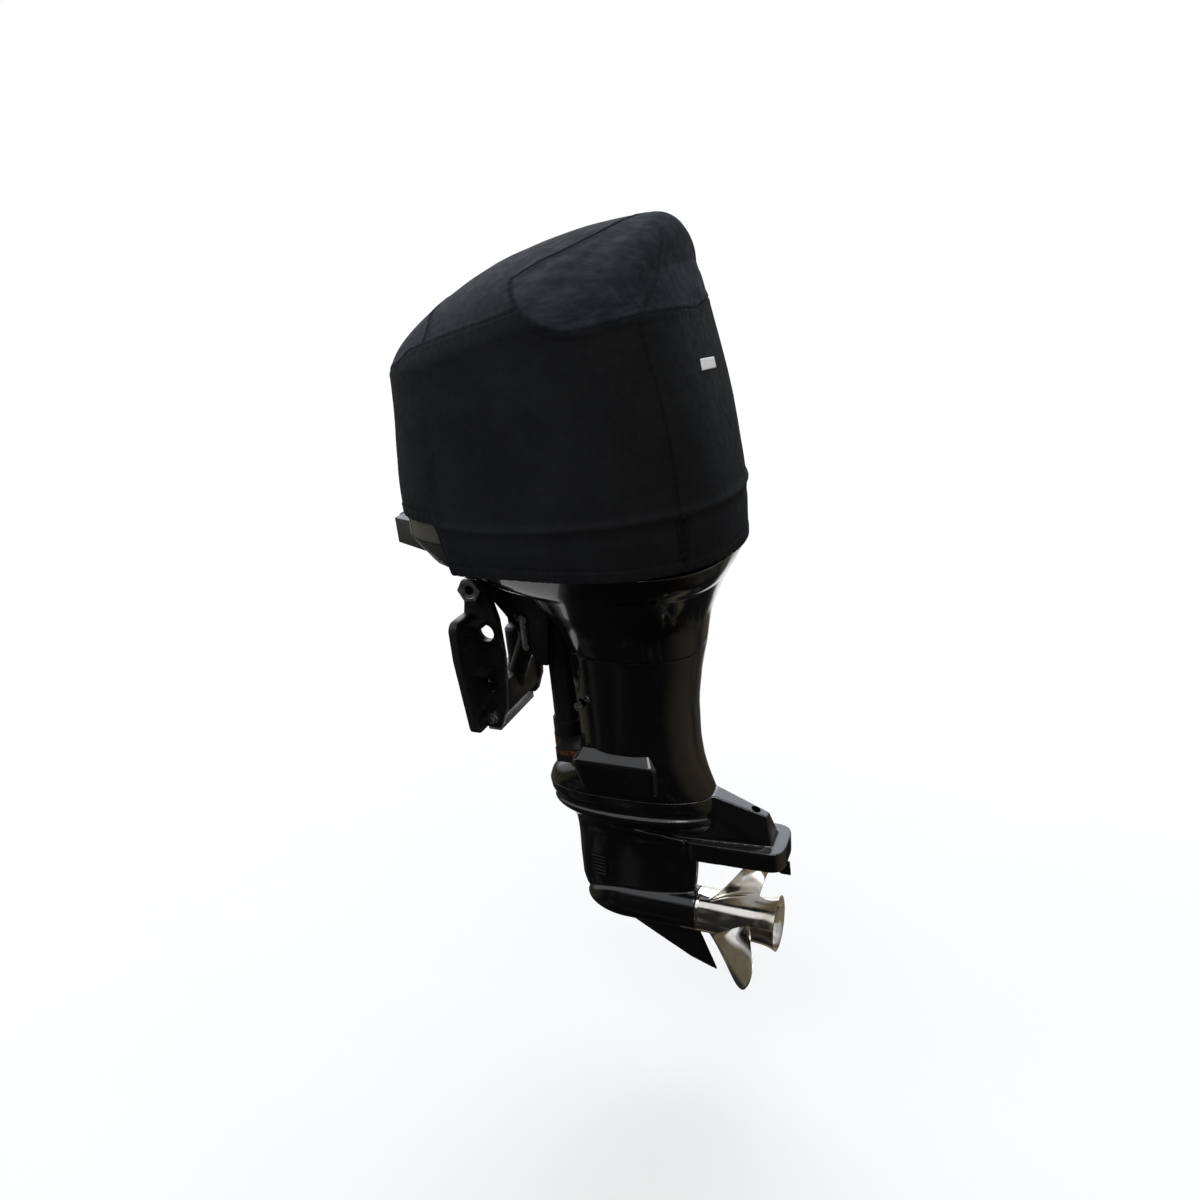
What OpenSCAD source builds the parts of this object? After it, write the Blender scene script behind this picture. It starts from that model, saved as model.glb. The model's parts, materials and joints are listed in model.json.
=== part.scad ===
// Large four-stroke outboard motor with a fitted fabric cover over its cowling.
// Row frame: X forward, Y to port, Z up. The origin is midway between the two upper
// transom bolt holes, on the face that meets the transom.

/* [Leg] */
// Transom height: from the transom's top edge down to the anti-ventilation plate
transom_height = 635; // [600:1:762]
// Drop of the upper bolt holes below the transom's top edge
hole_drop = 90; // [70:1:110]
// Distance from the transom face aft to the drive shaft
shaft_aft = 275; // [270:1:290]
// Distance from the anti-ventilation plate down to the propeller shaft
prop_drop = 220; // [215:1:235]
// Wall of the cast leg housing
leg_wall = 8; // [6:0.5:9]
// Half width of the leg housing at its waist
leg_half_w = 112; // [105:1:120]

/* [Transom bracket] */
// Spacing of the two upper transom bolt holes
upper_spacing = 327.9; // [320:0.1:335]
// Spacing of the two lower transom bolt holes
lower_spacing = 250.8; // [245:0.1:258]
// Height between the upper and the lower holes
hole_rise = 203.2; // [195:0.1:210]
// Diameter of the transom bolt holes
bolt_hole_d = 13.5; // [12:0.1:15]
// Thickness of the bracket flange that meets the transom
flange_t = 20; // [16:1:24]
// Distance of the tilt axis aft of the transom face
tilt_back = 35; // [30:1:40]
// Height of the tilt axis above the transom's top edge
tilt_rise = 43; // [38:1:46]
// Outer diameter of the tilt tube
tilt_tube_d = 36; // [30:1:38]

/* [Steering] */
// Distance of the steering axis forward of the drive shaft
steer_fwd = 88; // [84:1:92]
// Diameter of the steering shaft
steer_shaft_d = 40; // [34:1:42]
// Wall of the swivel tube outside its bushes
swivel_wall = 9; // [7:0.5:11]

/* [Gear train] */
// Module of the bevel gears at their outer end
gear_module = 3.3; // [3:0.1:3.4]
// Diameter of the drive shaft
drive_shaft_d = 25; // [22:1:27]
// Diameter of the propeller shaft
prop_shaft_d = 26; // [22:1:28]

/* [Propeller] */
// Diameter over the blade tips
prop_d = 376; // [340:1:395]
// Geometric pitch of the blades
prop_pitch = 550; // [500:5:620]
// Number of blades
blade_count = 3; // [3:1:4]
// Outer diameter of the hub
hub_d = 112; // [106:1:116]
// Length of the hub
hub_len = 205; // [195:1:215]

/* [Cowling] */
// Height of the cover's hem above the transom's top edge
hem_rise = 140; // [135:1:150]
// Height of the cover above its hem, at its highest point
cover_h = 672; // [640:1:700]
// Half width of the cover
cover_half_w = 300; // [290:1:310]
// Thickness of the cover's fabric
cover_t = 2.5; // [2:0.1:3]
// Gap between the fabric and the cowling
cover_gap = 0.3; // [0.3:0.1:1]
// Wall of the moulded cowling
cowl_t = 5; // [4:0.5:6]

/* [Clearances] */
// Radial clearance of running fits
run_clear = 0.05; // [0.02:0.01:0.1]
// Gap between faces that pass each other
face_gap = 0.5; // [0.3:0.1:1]

/* [Hidden] */
$fn = 48;
RING_N = 40;

// Heights in the leg's own frame: X from the drive shaft, Z from the anti-ventilation plate
av_drop = transom_height - hole_drop;
tilt_x = shaft_aft - tilt_back;
tilt_z = transom_height + tilt_rise;
hem_z = transom_height + hem_rise;
cover_top_z = hem_z + cover_h;
joint_z = 142;
seam_z = transom_height - 105;
pinion_teeth = 12;
gear_teeth = 21;
gear_r = gear_module * gear_teeth / 2;
pinion_r = gear_module * pinion_teeth / 2;
cone_len = norm([gear_r, pinion_r]);
face_w = 13;
drive_shaft_tip_d = 16;

module leg_frame() {
    translate([-shaft_aft, 0, -av_drop]) children();
}
module tilt_frame() {
    translate([-tilt_back, 0, hole_drop + tilt_rise]) children();
}
module mirrored_pair() {
    children();
    mirror([0, 1, 0]) children();
}

// Outlines and lofts
function signed_power(v, p) = sign(v) * pow(abs(v), p);
function mix(a, b, s) = a + (b - a) * s;

// A closed outline at one height: front and back reach, half width, squareness, the place
// of the greatest width as a share of the length from the back, and the back's squareness.
function outline(z, front, back, half_w, square = 2.4, middle = 0.5, square_back = 0) =
    let (centre = mix(back, front, middle))
    [for (i = [0:RING_N - 1])
        let (t = 360 * i / RING_N,
             reach = cos(t) > 0 ? front - centre : centre - back,
             p = 2 / (cos(t) < 0 && square_back > 0 ? square_back : square))
        [centre + reach * signed_power(cos(t), p), half_w * signed_power(sin(t), p), z]];

function ring_sides(k, n, flip) = [for (i = [0:n - 1])
    let (j = (i + 1) % n, a = k * n + i, b = k * n + j, c = a + n, d = b + n)
    each flip ? [[a, b, d], [a, d, c]] : [[a, d, b], [a, c, d]]];
function ring_centre(r) = [for (c = [0:2]) (min([for (p = r) p[c]]) + max([for (p = r) p[c]])) / 2];

// A solid through a stack of outlines, bottom first
module loft(rings) {
    n = len(rings[0]);
    m = len(rings);
    bottom = n * m;
    top = bottom + 1;
    polyhedron(
        points = [for (r = rings) each r, ring_centre(rings[0]), ring_centre(rings[m - 1])],
        faces = [for (k = [0:m - 2]) each ring_sides(k, n, false),
            for (i = [0:n - 1]) [bottom, i, (i + 1) % n],
            for (i = [0:n - 1]) [top, (m - 1) * n + (i + 1) % n, (m - 1) * n + i]]);
}

// A wall between two stacks of outlines, open below, and above unless apex points close it
module loft_shell(outer, inner, apex = []) {
    n = len(outer[0]);
    m = len(outer);
    o_top = (m - 1) * n;
    i_bottom = m * n;
    i_top = i_bottom + o_top;
    cap = 2 * m * n;
    polyhedron(
        points = [for (r = outer) each r, for (r = inner) each r, each apex],
        faces = [for (k = [0:m - 2]) each ring_sides(k, n, false),
            for (k = [0:m - 2]) each ring_sides(k + m, n, true),
            for (i = [0:n - 1]) let (j = (i + 1) % n)
                each [[i, j, i_bottom + j], [i, i_bottom + j, i_bottom + i]],
            for (i = [0:n - 1]) let (j = (i + 1) % n)
                each len(apex) > 0
                ? [[cap, o_top + j, o_top + i], [cap + 1, i_top + i, i_top + j]]
                : [[o_top + j, o_top + i, i_top + i], [o_top + j, i_top + i, i_top + j]]]);
}

module tube(d, bore, h) {
    difference() {
        cylinder(d = d, h = h);
        translate([0, 0, -1]) cylinder(d = bore, h = h + 2);
    }
}
module across(y = 0) {
    translate([0, y, 0]) rotate([-90, 0, 0]) children();
}
module hex_prism(flats, h) {
    cylinder(d = flats / cos(30), h = h, $fn = 6);
}

// Transom bracket
web_y = 88;
web_t = 20;
ear_r = 30;
bracket_low = -hole_rise - 32;
bracket_high = hole_drop - 22;
barrel_half_w = web_y - face_gap;
tie_x = -38;
tie_z = bracket_low + 26;
tie_d = 14;
tube_len = 2 * (web_y + web_t) + 44;
tilt_nut_h = 16;

module bracket_web() {
    across(web_y) linear_extrude(web_t) scale([1, -1]) difference() {
        offset(8) offset(-8) union() {
            translate([-tilt_back, hole_drop + tilt_rise]) circle(ear_r);
            polygon([[0, bracket_low], [0, bracket_high], [-6, hole_drop + 12],
                [-tilt_back + 18, hole_drop + tilt_rise + 18],
                [-tilt_back - ear_r + 1, hole_drop + tilt_rise],
                [-84, hole_drop - 40], [-88, -40], [-74, bracket_low + 50],
                [-56, bracket_low]]);
        }
        translate([-46, -118]) circle(19);
        translate([-50, 18]) circle(22);
    }
}
module clamp_bracket() {
    upper_y = upper_spacing / 2;
    lower_y = lower_spacing / 2;
    difference() {
        union() {
            bracket_web();
            rotate([90, 0, -90]) linear_extrude(flange_t) scale([-1, 1]) hull() {
                for (p = [[upper_y, bracket_high - 22], [upper_y, -22],
                    [lower_y + 14, bracket_low + 23], [web_y + 25, bracket_low + 23],
                    [web_y + 25, bracket_high - 22]])
                    translate(p) circle(22);
            }
            translate([-tilt_back, web_y + web_t / 2, hole_drop + tilt_rise])
                across() cylinder(r = ear_r - 3, h = web_t / 2 + 8);
            for (z = [-78, 46])
                translate([-flange_t - 36, web_y + web_t - 2, z])
                    rotate([0, 90, 0]) linear_extrude(37) polygon([[-6, 0], [6, 0], [6, 34], [-6, 34]]);
        }
        for (p = [[upper_y, 0], [lower_y, -hole_rise]]) {
            translate([-flange_t - 60, p[0], p[1]]) rotate([0, 90, 0]) cylinder(d = bolt_hole_d, h = 100);
            translate([-flange_t - 60, p[0], p[1]]) rotate([0, 90, 0]) cylinder(d = 30, h = 61.5);
        }
        translate([-tilt_back, 0, hole_drop + tilt_rise]) across(web_y - 1)
            cylinder(d = tilt_tube_d, h = web_t + 20);
        translate([tie_x, 0, tie_z]) across(web_y - 1) cylinder(d = tie_d, h = web_t + 20);
    }
}
module clamp_bracket_port() {
    color("#141416") clamp_bracket();
}
module clamp_bracket_starboard() {
    color("#141416") mirror([0, 1, 0]) clamp_bracket();
}
module tilt_tube() {
    color("#3a3c3f") tilt_frame() across(-tube_len / 2) tube(tilt_tube_d, tilt_tube_d - 12, tube_len);
}
module tilt_tube_nuts() {
    color("#b9bcc0") tilt_frame() mirrored_pair() across(web_y + web_t + 8) difference() {
        hex_prism(tilt_tube_d + 16, tilt_nut_h);
        translate([0, 0, -1]) cylinder(d = tilt_tube_d, h = tilt_nut_h + 2);
    }
}
module bracket_tie_bolt() {
    reach = web_y + web_t;
    color("#c9ccd0") translate([tie_x, 0, tie_z]) {
        across(-reach - 14) cylinder(d = tie_d, h = 2 * reach + 28);
        mirrored_pair() across(reach) difference() {
            union() {
                cylinder(d = 30, h = 3);
                hex_prism(22, 13);
            }
            translate([0, 0, -1]) cylinder(d = tie_d, h = 16);
        }
        difference() {
            across(-web_y) cylinder(d = tie_d + 12, h = 2 * web_y);
            across(-web_y - 1) cylinder(d = tie_d, h = 2 * web_y + 2);
        }
    }
}

// Power tilt: the cylinder stands on the bracket, its rod slides, and the rod's cross
// pin works in a slot in the swivel bracket's cheeks.
ram_foot = [-tilt_back - 5, hole_drop + tilt_rise - 318];
ram_head = [-tilt_back - 88, hole_drop + tilt_rise - 115];
ram_len = norm(ram_head - ram_foot);
ram_lean = atan2(ram_foot[0] - ram_head[0], ram_head[1] - ram_foot[1]);
barrel_d = 46;
barrel_top = ram_len - 35;
barrel_low = -8;
chamber_low = 1;
gland_t = 10;
piston_t = 8;
piston_low = chamber_low + 12;
chamber_d = barrel_d - 12;
ram_rod_d = 18;
ram_eye_d = 36;
ram_eye_w = 30;
ram_pin_d = 15;
slot_w = ram_pin_d + 6;
cheek_y = ram_eye_w / 2 + 3;
cheek_t = 12;

module ram_frame() {
    translate([ram_foot[0], 0, ram_foot[1]]) rotate([0, -ram_lean, 0]) children();
}
module tilt_cylinder() {
    color("#17181a") ram_frame() difference() {
        union() {
            translate([0, 0, barrel_low]) cylinder(d = barrel_d, h = barrel_top - 16 - barrel_low);
            translate([0, 0, barrel_top - 16]) cylinder(d = barrel_d + 6, h = 16);
        }
        translate([0, 0, chamber_low]) cylinder(d = chamber_d, h = barrel_top - gland_t - chamber_low);
        translate([0, 0, barrel_top - 20]) cylinder(d = ram_rod_d + 2 * run_clear, h = 30);
    }
}
module tilt_ram_rod() {
    color("#c8cacd") ram_frame() difference() {
        union() {
            translate([0, 0, piston_low + 2]) cylinder(d = ram_rod_d, h = ram_len - piston_low - 2);
            translate([0, 0, piston_low]) cylinder(d = chamber_d - 2 * run_clear, h = piston_t);
            translate([0, 0, ram_len]) across(-ram_eye_w / 2) cylinder(d = ram_eye_d, h = ram_eye_w);
        }
        translate([0, 0, ram_len]) across(-ram_eye_w) cylinder(d = ram_pin_d, h = 2 * ram_eye_w);
    }
}
module tilt_ram_pin() {
    half = cheek_y + cheek_t + 3;
    color("#b5b8bb") ram_frame() translate([0, 0, ram_len]) across(-half)
        cylinder(d = ram_pin_d, h = 2 * half);
}
pump_top = ram_foot[1] + 62;
module trim_pump_block() {
    color("#1a1b1d") difference() {
        translate([ram_foot[0] - 30, -web_y, ram_foot[1] - 16]) cube([64, 2 * web_y, 78]);
        ram_frame() translate([0, 0, -30]) cylinder(d = barrel_d, h = 200);
        translate([tie_x, 0, tie_z]) across(-web_y) cylinder(d = tie_d + 12, h = 2 * web_y);
    }
}
module trim_pump_motor() {
    color("#202124") translate([ram_foot[0] + 4, -barrel_half_w + 32, pump_top]) {
        cylinder(d = 52, h = 84);
        translate([0, 0, 84]) cylinder(d1 = 52, d2 = 40, h = 8);
    }
}
module trim_fluid_reservoir() {
    color("#26272a") translate([ram_foot[0] + 4, barrel_half_w - 30, pump_top]) {
        cylinder(d = 50, h = 70);
        translate([0, 0, 70]) cylinder(d1 = 50, d2 = 26, h = 14);
        translate([0, 0, 84]) hex_prism(20, 8);
    }
}
module bracket_anode() {
    color("#9a9da0") translate([-46, -web_y - 4, bracket_low - 18]) difference() {
        cube([36, 2 * web_y + 8, 18]);
        for (y = [24, 2 * web_y - 16]) translate([18, y, -1]) cylinder(d = 9, h = 20);
    }
}

// Swivel bracket: turns on the tilt tube and carries the steering shaft
swivel_top = tilt_z + ear_r + 6;
swivel_low = 262;
swivel_bore = steer_shaft_d + 8;
swivel_d = swivel_bore + 2 * swivel_wall;
module swivel_bracket() {
    color("#121214") difference() {
        union() {
            tilt_frame() across(-barrel_half_w) cylinder(r = ear_r - 2, h = 2 * barrel_half_w);
            leg_frame() {
                translate([steer_fwd, 0, swivel_low]) cylinder(d = swivel_d, h = swivel_top - swivel_low);
                translate([steer_fwd, 0, swivel_top - 46]) cylinder(d = swivel_d + 14, h = 46);
                translate([steer_fwd, 0, swivel_low]) cylinder(d = swivel_d + 10, h = 40);
                mirrored_pair() across(cheek_y + cheek_t + 12) linear_extrude(18) scale([1, -1])
                    polygon([[tilt_x + 4, tilt_z - 22], [tilt_x - 10, tilt_z + 24],
                        [steer_fwd + 6, swivel_top - 4], [steer_fwd - 12, swivel_top - 44],
                        [steer_fwd + 8, tilt_z - 210], [steer_fwd + 34, tilt_z - 210],
                        [tilt_x - 74, tilt_z - 120]]);
                mirrored_pair() across(cheek_y) linear_extrude(cheek_t) scale([1, -1])
                    polygon([[tilt_x, tilt_z - 20], [tilt_x - 40, tilt_z + 10],
                        [steer_fwd, swivel_top - 20], [steer_fwd + 8, tilt_z - 168],
                        [tilt_x - 106, tilt_z - 146], [tilt_x - 74, tilt_z - 128],
                        [tilt_x - 62, tilt_z - 96]]);
                translate([steer_fwd, -cheek_y - cheek_t - 30, swivel_top - 36])
                    cube([tilt_x - steer_fwd - 4, 2 * (cheek_y + cheek_t + 30), 26]);
            }
        }
        tilt_frame() across(-web_y) cylinder(d = tilt_tube_d + 2 * run_clear, h = 2 * web_y);
        leg_frame() translate([steer_fwd, 0, 0]) cylinder(d = swivel_bore, h = transom_height + 200);
        pin_slot();
        ram_frame() translate([0, 0, ram_len - 46]) cylinder(d = ram_eye_d + 4, h = 40);
        lever_pivot() across(0) cylinder(d = lever_pin_d, h = 100);
    }
}
// Slot for the ram pin, along the radius from the tilt axis
module pin_slot() {
    reach = norm(ram_head - [-tilt_back, hole_drop + tilt_rise]);
    swing = atan2(tilt_back + ram_head[0], hole_drop + tilt_rise - ram_head[1]);
    inner = reach - 24;
    outer = reach + 8;
    tilt_frame() rotate([0, -swing, 0]) translate([0, -100, 0]) {
        for (r = [inner, outer]) translate([0, 0, -r]) across() cylinder(d = slot_w, h = 200);
        translate([-slot_w / 2, 0, -outer]) cube([slot_w, 200, outer - inner]);
    }
}
module swivel_bushes() {
    color("#d8d2c0") leg_frame() for (z = [swivel_low, swivel_top - 60])
        translate([steer_fwd, 0, z]) tube(swivel_bore, steer_shaft_d + 2 * run_clear, 60);
}
lever_pin_d = 10;
lever_len = 70;
lever_y = cheek_y + cheek_t + 30 + face_gap;
module lever_pivot() {
    leg_frame() translate([steer_fwd + 58, 0, tilt_z - 92]) children();
}
module tilt_lock_lever() {
    color("#8d9094") lever_pivot() {
        across(lever_y) cylinder(d = 22, h = 8);
        across(lever_y - 12) cylinder(d = lever_pin_d - 2 * run_clear, h = 16);
        translate([-7, lever_y, -lever_len]) cube([14, 8, lever_len]);
        translate([0, 0, -lever_len]) across(lever_y) cylinder(d = 20, h = 8);
    }
}

// Steering shaft, arm and mounts
yoke_top = swivel_low - face_gap;
yoke_back = 18;
upper_mount_y = 64;
lower_mount_y = 46;
mount_hole_d = 13;
mount_h = 28;
arm_low = swivel_top + face_gap;
arm_t = 24;
arm_reach = 215;
arm_hole_d = 10;
arm_back = 26;
mount_x = 54;
module steering_shaft() {
    color("#77797c") leg_frame() translate([steer_fwd, 0, yoke_top - 40])
        cylinder(d = steer_shaft_d, h = arm_low + arm_t - yoke_top + 40);
}
module steering_arm() {
    tip = [steer_fwd + arm_reach, 0];
    color("#18191b") leg_frame() difference() {
        union() {
            translate([steer_fwd, 0, arm_low]) cylinder(d = swivel_d + 10, h = arm_t);
            translate([steer_fwd, -17, arm_low + 6]) cube([arm_reach, 34, 16]);
            translate([tip[0], 0, arm_low + 6]) cylinder(d = 34, h = 16);
            translate([arm_back, -92, arm_low]) cube([steer_fwd - arm_back, 184, arm_t]);
        }
        translate([steer_fwd, 0, arm_low - 1]) cylinder(d = steer_shaft_d, h = arm_t + 2);
        translate([tip[0], 0, arm_low]) cylinder(d = arm_hole_d, h = 40);
        for (y = [-upper_mount_y, upper_mount_y]) translate([mount_x, y, arm_low - 1])
            cylinder(d = mount_hole_d, h = arm_t + 2);
    }
}
module lower_yoke() {
    color("#18191b") leg_frame() difference() {
        union() {
            translate([steer_fwd, 0, yoke_top - 40]) cylinder(d = swivel_d + 12, h = 40);
            translate([yoke_back, -86, yoke_top - 40]) cube([steer_fwd - yoke_back, 172, 40]);
        }
        translate([steer_fwd, 0, yoke_top - 41]) cylinder(d = steer_shaft_d, h = 42);
        for (y = [-lower_mount_y, lower_mount_y]) translate([0, y, yoke_top - 20])
            rotate([0, 90, 0]) cylinder(d = mount_hole_d, h = 120);
    }
}
mount_d = 54;
bulkhead_x = -32;
module rubber_mounts() {
    color("#1b1b1b") leg_frame() {
        for (y = [-upper_mount_y, upper_mount_y]) translate([mount_x, y, arm_low + arm_t])
            tube(mount_d, mount_hole_d, mount_h);
        for (y = [-lower_mount_y, lower_mount_y]) translate([bulkhead_x + 12, y, yoke_top - 20])
            rotate([0, 90, 0]) tube(mount_d - 16, mount_hole_d, yoke_back - bulkhead_x - 12);
    }
}
plate_z = arm_low + arm_t + mount_h;
deck_z = plate_z + 14;
module engine_mount_plate() {
    color("#4c4f53") leg_frame() difference() {
        translate([0, 0, plate_z]) linear_extrude(14) hull() {
            for (p = [[60, 110], [-250, 120]], s = [-1, 1]) translate([p[0], s * p[1]]) circle(24);
        }
        translate([0, 0, plate_z - 1]) cylinder(d = drive_shaft_d + 16, h = 16);
        translate([pan_x, 0, plate_z - 1]) cylinder(d = 70, h = 16);
        for (y = [-upper_mount_y, upper_mount_y]) translate([mount_x, y, plate_z - 1])
            cylinder(d = mount_hole_d, h = 16);
    }
}

// Leg housing and apron: one outline runs down from the cover's hem to the gearcase
function leg_section(z, front, back, half_w, square = 2.6, middle = 0.55) =
    [z, front, back, half_w, square, middle];
LEG_SECTIONS = [
    leg_section(joint_z, 146, -284, 92),
    leg_section(joint_z + 30, 132, -272, 100),
    leg_section(joint_z + 62, 92, -262, 104),
    leg_section(joint_z + 88, 46, -256, leg_half_w - 6),
    leg_section(joint_z + 150, 42, -251, leg_half_w - 4),
    leg_section(joint_z + 210, 42, -251, leg_half_w),
    leg_section(seam_z - 90, 43, -260, leg_half_w + 8),
    leg_section(seam_z, 45, -278, leg_half_w + 18)];
APRON_SECTIONS = [
    leg_section(seam_z, 45, -278, leg_half_w + 18),
    leg_section(transom_height - 35, 70, -290, leg_half_w + 38),
    leg_section(transom_height + 15, 100, -308, leg_half_w + 68),
    leg_section(transom_height + 65, 130, -332, leg_half_w + 106),
    leg_section(transom_height + 82, 176, -342, leg_half_w + 120, 3.0),
    leg_section(hem_z - 34, 214, -354, cover_half_w - 52, 3.2),
    leg_section(hem_z - 2, 246, -366, cover_half_w - 34, 3.2)];
function section_outline(s, inset = 0) =
    outline(s[0], s[1] - inset, s[2] + inset, s[3] - inset, s[4], s[5]);

module swivel_clearance() {
    translate([46, -130, swivel_low - 40]) cube([300, 260, arm_low + arm_t + 4 - swivel_low + 40]);
}
column_front = 22;
column_back = -262;
column_half_w = 86;
module column_plan(inset = 0) {
    polygon([for (p = outline(0, column_front - inset, column_back + inset, column_half_w - inset, 3, 0.5))
        [p[0], p[1]]]);
}
module leg_plan(s, inset) {
    polygon([for (p = section_outline(s, inset)) [p[0], p[1]]]);
}
floor_t = 10;
module leg_housing() {
    color("#0e0e10") leg_frame() difference() {
        union() {
            loft_shell([for (s = LEG_SECTIONS) section_outline(s)],
                [for (s = LEG_SECTIONS) section_outline(s, leg_wall)]);
            translate([0, 0, joint_z]) linear_extrude(floor_t) leg_plan(LEG_SECTIONS[0], leg_wall / 2);
            translate([0, 0, seam_z - floor_t]) linear_extrude(floor_t) difference() {
                leg_plan(LEG_SECTIONS[len(LEG_SECTIONS) - 1], leg_wall / 2);
                column_plan(leg_wall);
            }
            translate([0, 0, seam_z - floor_t]) linear_extrude(plate_z - seam_z + floor_t) difference() {
                column_plan();
                column_plan(leg_wall);
            }
            translate([bulkhead_x, -leg_half_w + 20, yoke_top - 48]) cube([12, 2 * leg_half_w - 40, 56]);
        }
        translate([steer_fwd, 0, joint_z + 56]) cylinder(d = swivel_d + 24, h = 60);
        translate([yoke_back - 4, -90, yoke_top - 42]) cube([200, 180, 46]);
        mirrored_pair() translate([plug_x, leg_half_w - 30, plug_z]) across() {
            cylinder(d = plug_d, h = 60);
            translate([0, 0, 30 + plug_seat]) cylinder(d = 24, h = 60);
        }
        translate([0, 0, joint_z - 1]) cylinder(d = pump_d, h = floor_t + 2);
        translate([pipe_x, 0, joint_z - 1]) cylinder(d = pipe_d, h = floor_t + 2);
        translate([shift_x, 0, joint_z - 1]) cylinder(d = 14, h = floor_t + 2);
        stud_places() translate([0, 0, joint_z - 1]) cylinder(d = stud_d, h = floor_t + 2);
    }
}
pump_d = 92;
tube_x = -50;
tube_y = 62;
tube_d = 16;
pipe_x = -150;
pipe_d = 84;
stud_d = 10;
STUD_PLACES = [[114, 0], [-70, 62], [-70, -62], [-222, 52], [-222, -52]];
module stud_places() {
    for (p = STUD_PLACES) translate([p[0], p[1], 0]) children();
}
module gearcase_studs() {
    color("#b4b7ba") leg_frame() stud_places() {
        translate([0, 0, joint_z - 36]) cylinder(d = stud_d, h = 36 + floor_t + 12);
        translate([0, 0, joint_z + floor_t]) hex_prism(17, 9);
    }
}
module upper_apron() {
    color("#0e0e10") leg_frame() difference() {
        loft_shell([for (s = APRON_SECTIONS) section_outline(s)],
            [for (s = APRON_SECTIONS) section_outline(s, cowl_t)]);
        swivel_clearance();
    }
}
cover_plate_x = -58;
cover_plate_z = joint_z + 78;
cover_seat = 0.8;
module lower_mount_covers() {
    color("#0d0d0f") leg_frame() mirrored_pair() translate([cover_plate_x, 0, cover_plate_z]) difference() {
        hull() for (x = [-78, 52], z = [-18, 18])
            translate([x, leg_half_w - 18, z]) scale([1, 0.7, 1]) sphere(42, $fn = 28);
        translate([-cover_plate_x, 0, -cover_plate_z])
            loft([for (s = LEG_SECTIONS) section_outline(s, -cover_seat)]);
        translate([-200, -92, -100]) cube([400, 184, 200]);
    }
}
plug_x = -3;
plug_z = 400;
plug_d = 16;
plug_seat = 1;
module flush_plug() {
    color("#b8bbbe") leg_frame() mirrored_pair()
        translate([plug_x, 0, plug_z]) across(leg_half_w + plug_seat) difference() {
            union() {
                translate([0, 0, -10]) cylinder(d = plug_d - 2 * run_clear, h = 12);
                cylinder(d = 22, h = 7);
            }
            translate([0, 0, 3]) hex_prism(8, 20);
        }
}

// Bottom cowl with the rigging inlet at its nose
nose_z = hem_z - 20;
nose_x = 470;
nose_h = 70;
inlet_d = 54;
seal_h = 4;
pan_h = 60;
pan_floor = deck_z;
pan_floor_t = 8;
cowl_low = hem_z + pan_h + seal_h;
cowl_inset = cover_t + cover_gap;
function pan_low(inset) =
    outline(hem_z - 2, 330 - inset, -364 + inset, cover_half_w - 36 - inset, 3, 0.46, hem_square);
module bottom_cowl() {
    color("#161718") leg_frame() difference() {
        union() {
            loft_shell([pan_low(0), trim_ring(cowl_inset, hem_z + pan_h)],
                [pan_low(cowl_t), trim_ring(cowl_inset + cowl_t, hem_z + pan_h)]);
            translate([0, 0, pan_floor]) linear_extrude(pan_floor_t)
                polygon([for (p = pan_low(1)) [p[0], p[1]]]);
            hull() {
                translate([312, -112, nose_z]) cube([6, 224, nose_h]);
                translate([nose_x - 40, -46, nose_z + 4]) cube([40, 92, nose_h - 8]);
            }
        }
        translate([280, 0, nose_z + nose_h / 2]) rotate([0, 90, 0]) cylinder(d = inlet_d, h = 300);
        translate([0, 0, pan_floor - 1]) linear_extrude(20)
            polygon([for (p = outline(0, 130, -334, 190, 3, 0.35, hem_square)) [p[0], p[1]]]);
        translate([150, -130, pan_floor - 1]) cube([120, 260, 20]);
    }
}
module cowl_seal() {
    color("#1c1c1c") leg_frame() loft_shell(
        [trim_ring(cowl_inset, hem_z + pan_h), trim_ring(cowl_inset, cowl_low)],
        [trim_ring(cowl_inset + cowl_t, hem_z + pan_h), trim_ring(cowl_inset + cowl_t, cowl_low)]);
}
module rigging_grommet() {
    color("#232426") leg_frame() translate([nose_x - 30, 0, nose_z + nose_h / 2])
        rotate([0, 90, 0]) difference() {
            union() {
                cylinder(d = inlet_d, h = 34);
                translate([0, 0, 30]) cylinder(d = inlet_d + 8, h = 10);
            }
            translate([0, 0, -1]) cylinder(d = inlet_d - 14, h = 60);
        }
}

// Power head
block_h = 430;
bank_angle = 30;
bore_d = 94;
bore_pitch = 122;
crank_clear_d = 160;
head_len = 40;
head_cover_t = 16;
head_low = pan_floor_t + 2;
bank_len = 250;
intake_x = crank_clear_d / 2 + 26;
filter_x = 30;
filter_y = 104;
starter_x = 60;
starter_y = 134;
module bank_frame(side) {
    rotate([0, 0, 180 + side * bank_angle]) children();
}
module engine_block() {
    color("#6d7176") leg_frame() translate([0, 0, deck_z]) difference() {
        union() {
            cylinder(d = crank_clear_d + 40, h = block_h);
            for (s = [-1, 1]) bank_frame(s) translate([0, -62, 0]) cube([bank_len, 124, block_h]);
            translate([40, -70, 150]) cube([intake_x - 40, 140, 160]);
            translate([filter_x, 0, 90]) rotate([90, 0, 0]) cylinder(d = 50, h = filter_y);
            translate([20, 60, 200]) cube([70, 68, 110]);
        }
        translate([0, 0, 14]) cylinder(d = crank_clear_d, h = block_h - 28);
        translate([0, 0, -1]) cylinder(d = journal_d + 2 * run_clear, h = block_h + 2);
        for (s = [-1, 1], k = [0:2]) bank_frame(s)
            translate([60, 0, 90 + k * bore_pitch]) rotate([0, 90, 0]) cylinder(d = bore_d, h = bank_len);
        translate([starter_x, starter_y, 180]) cylinder(d = 74, h = 300);
    }
}
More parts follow.
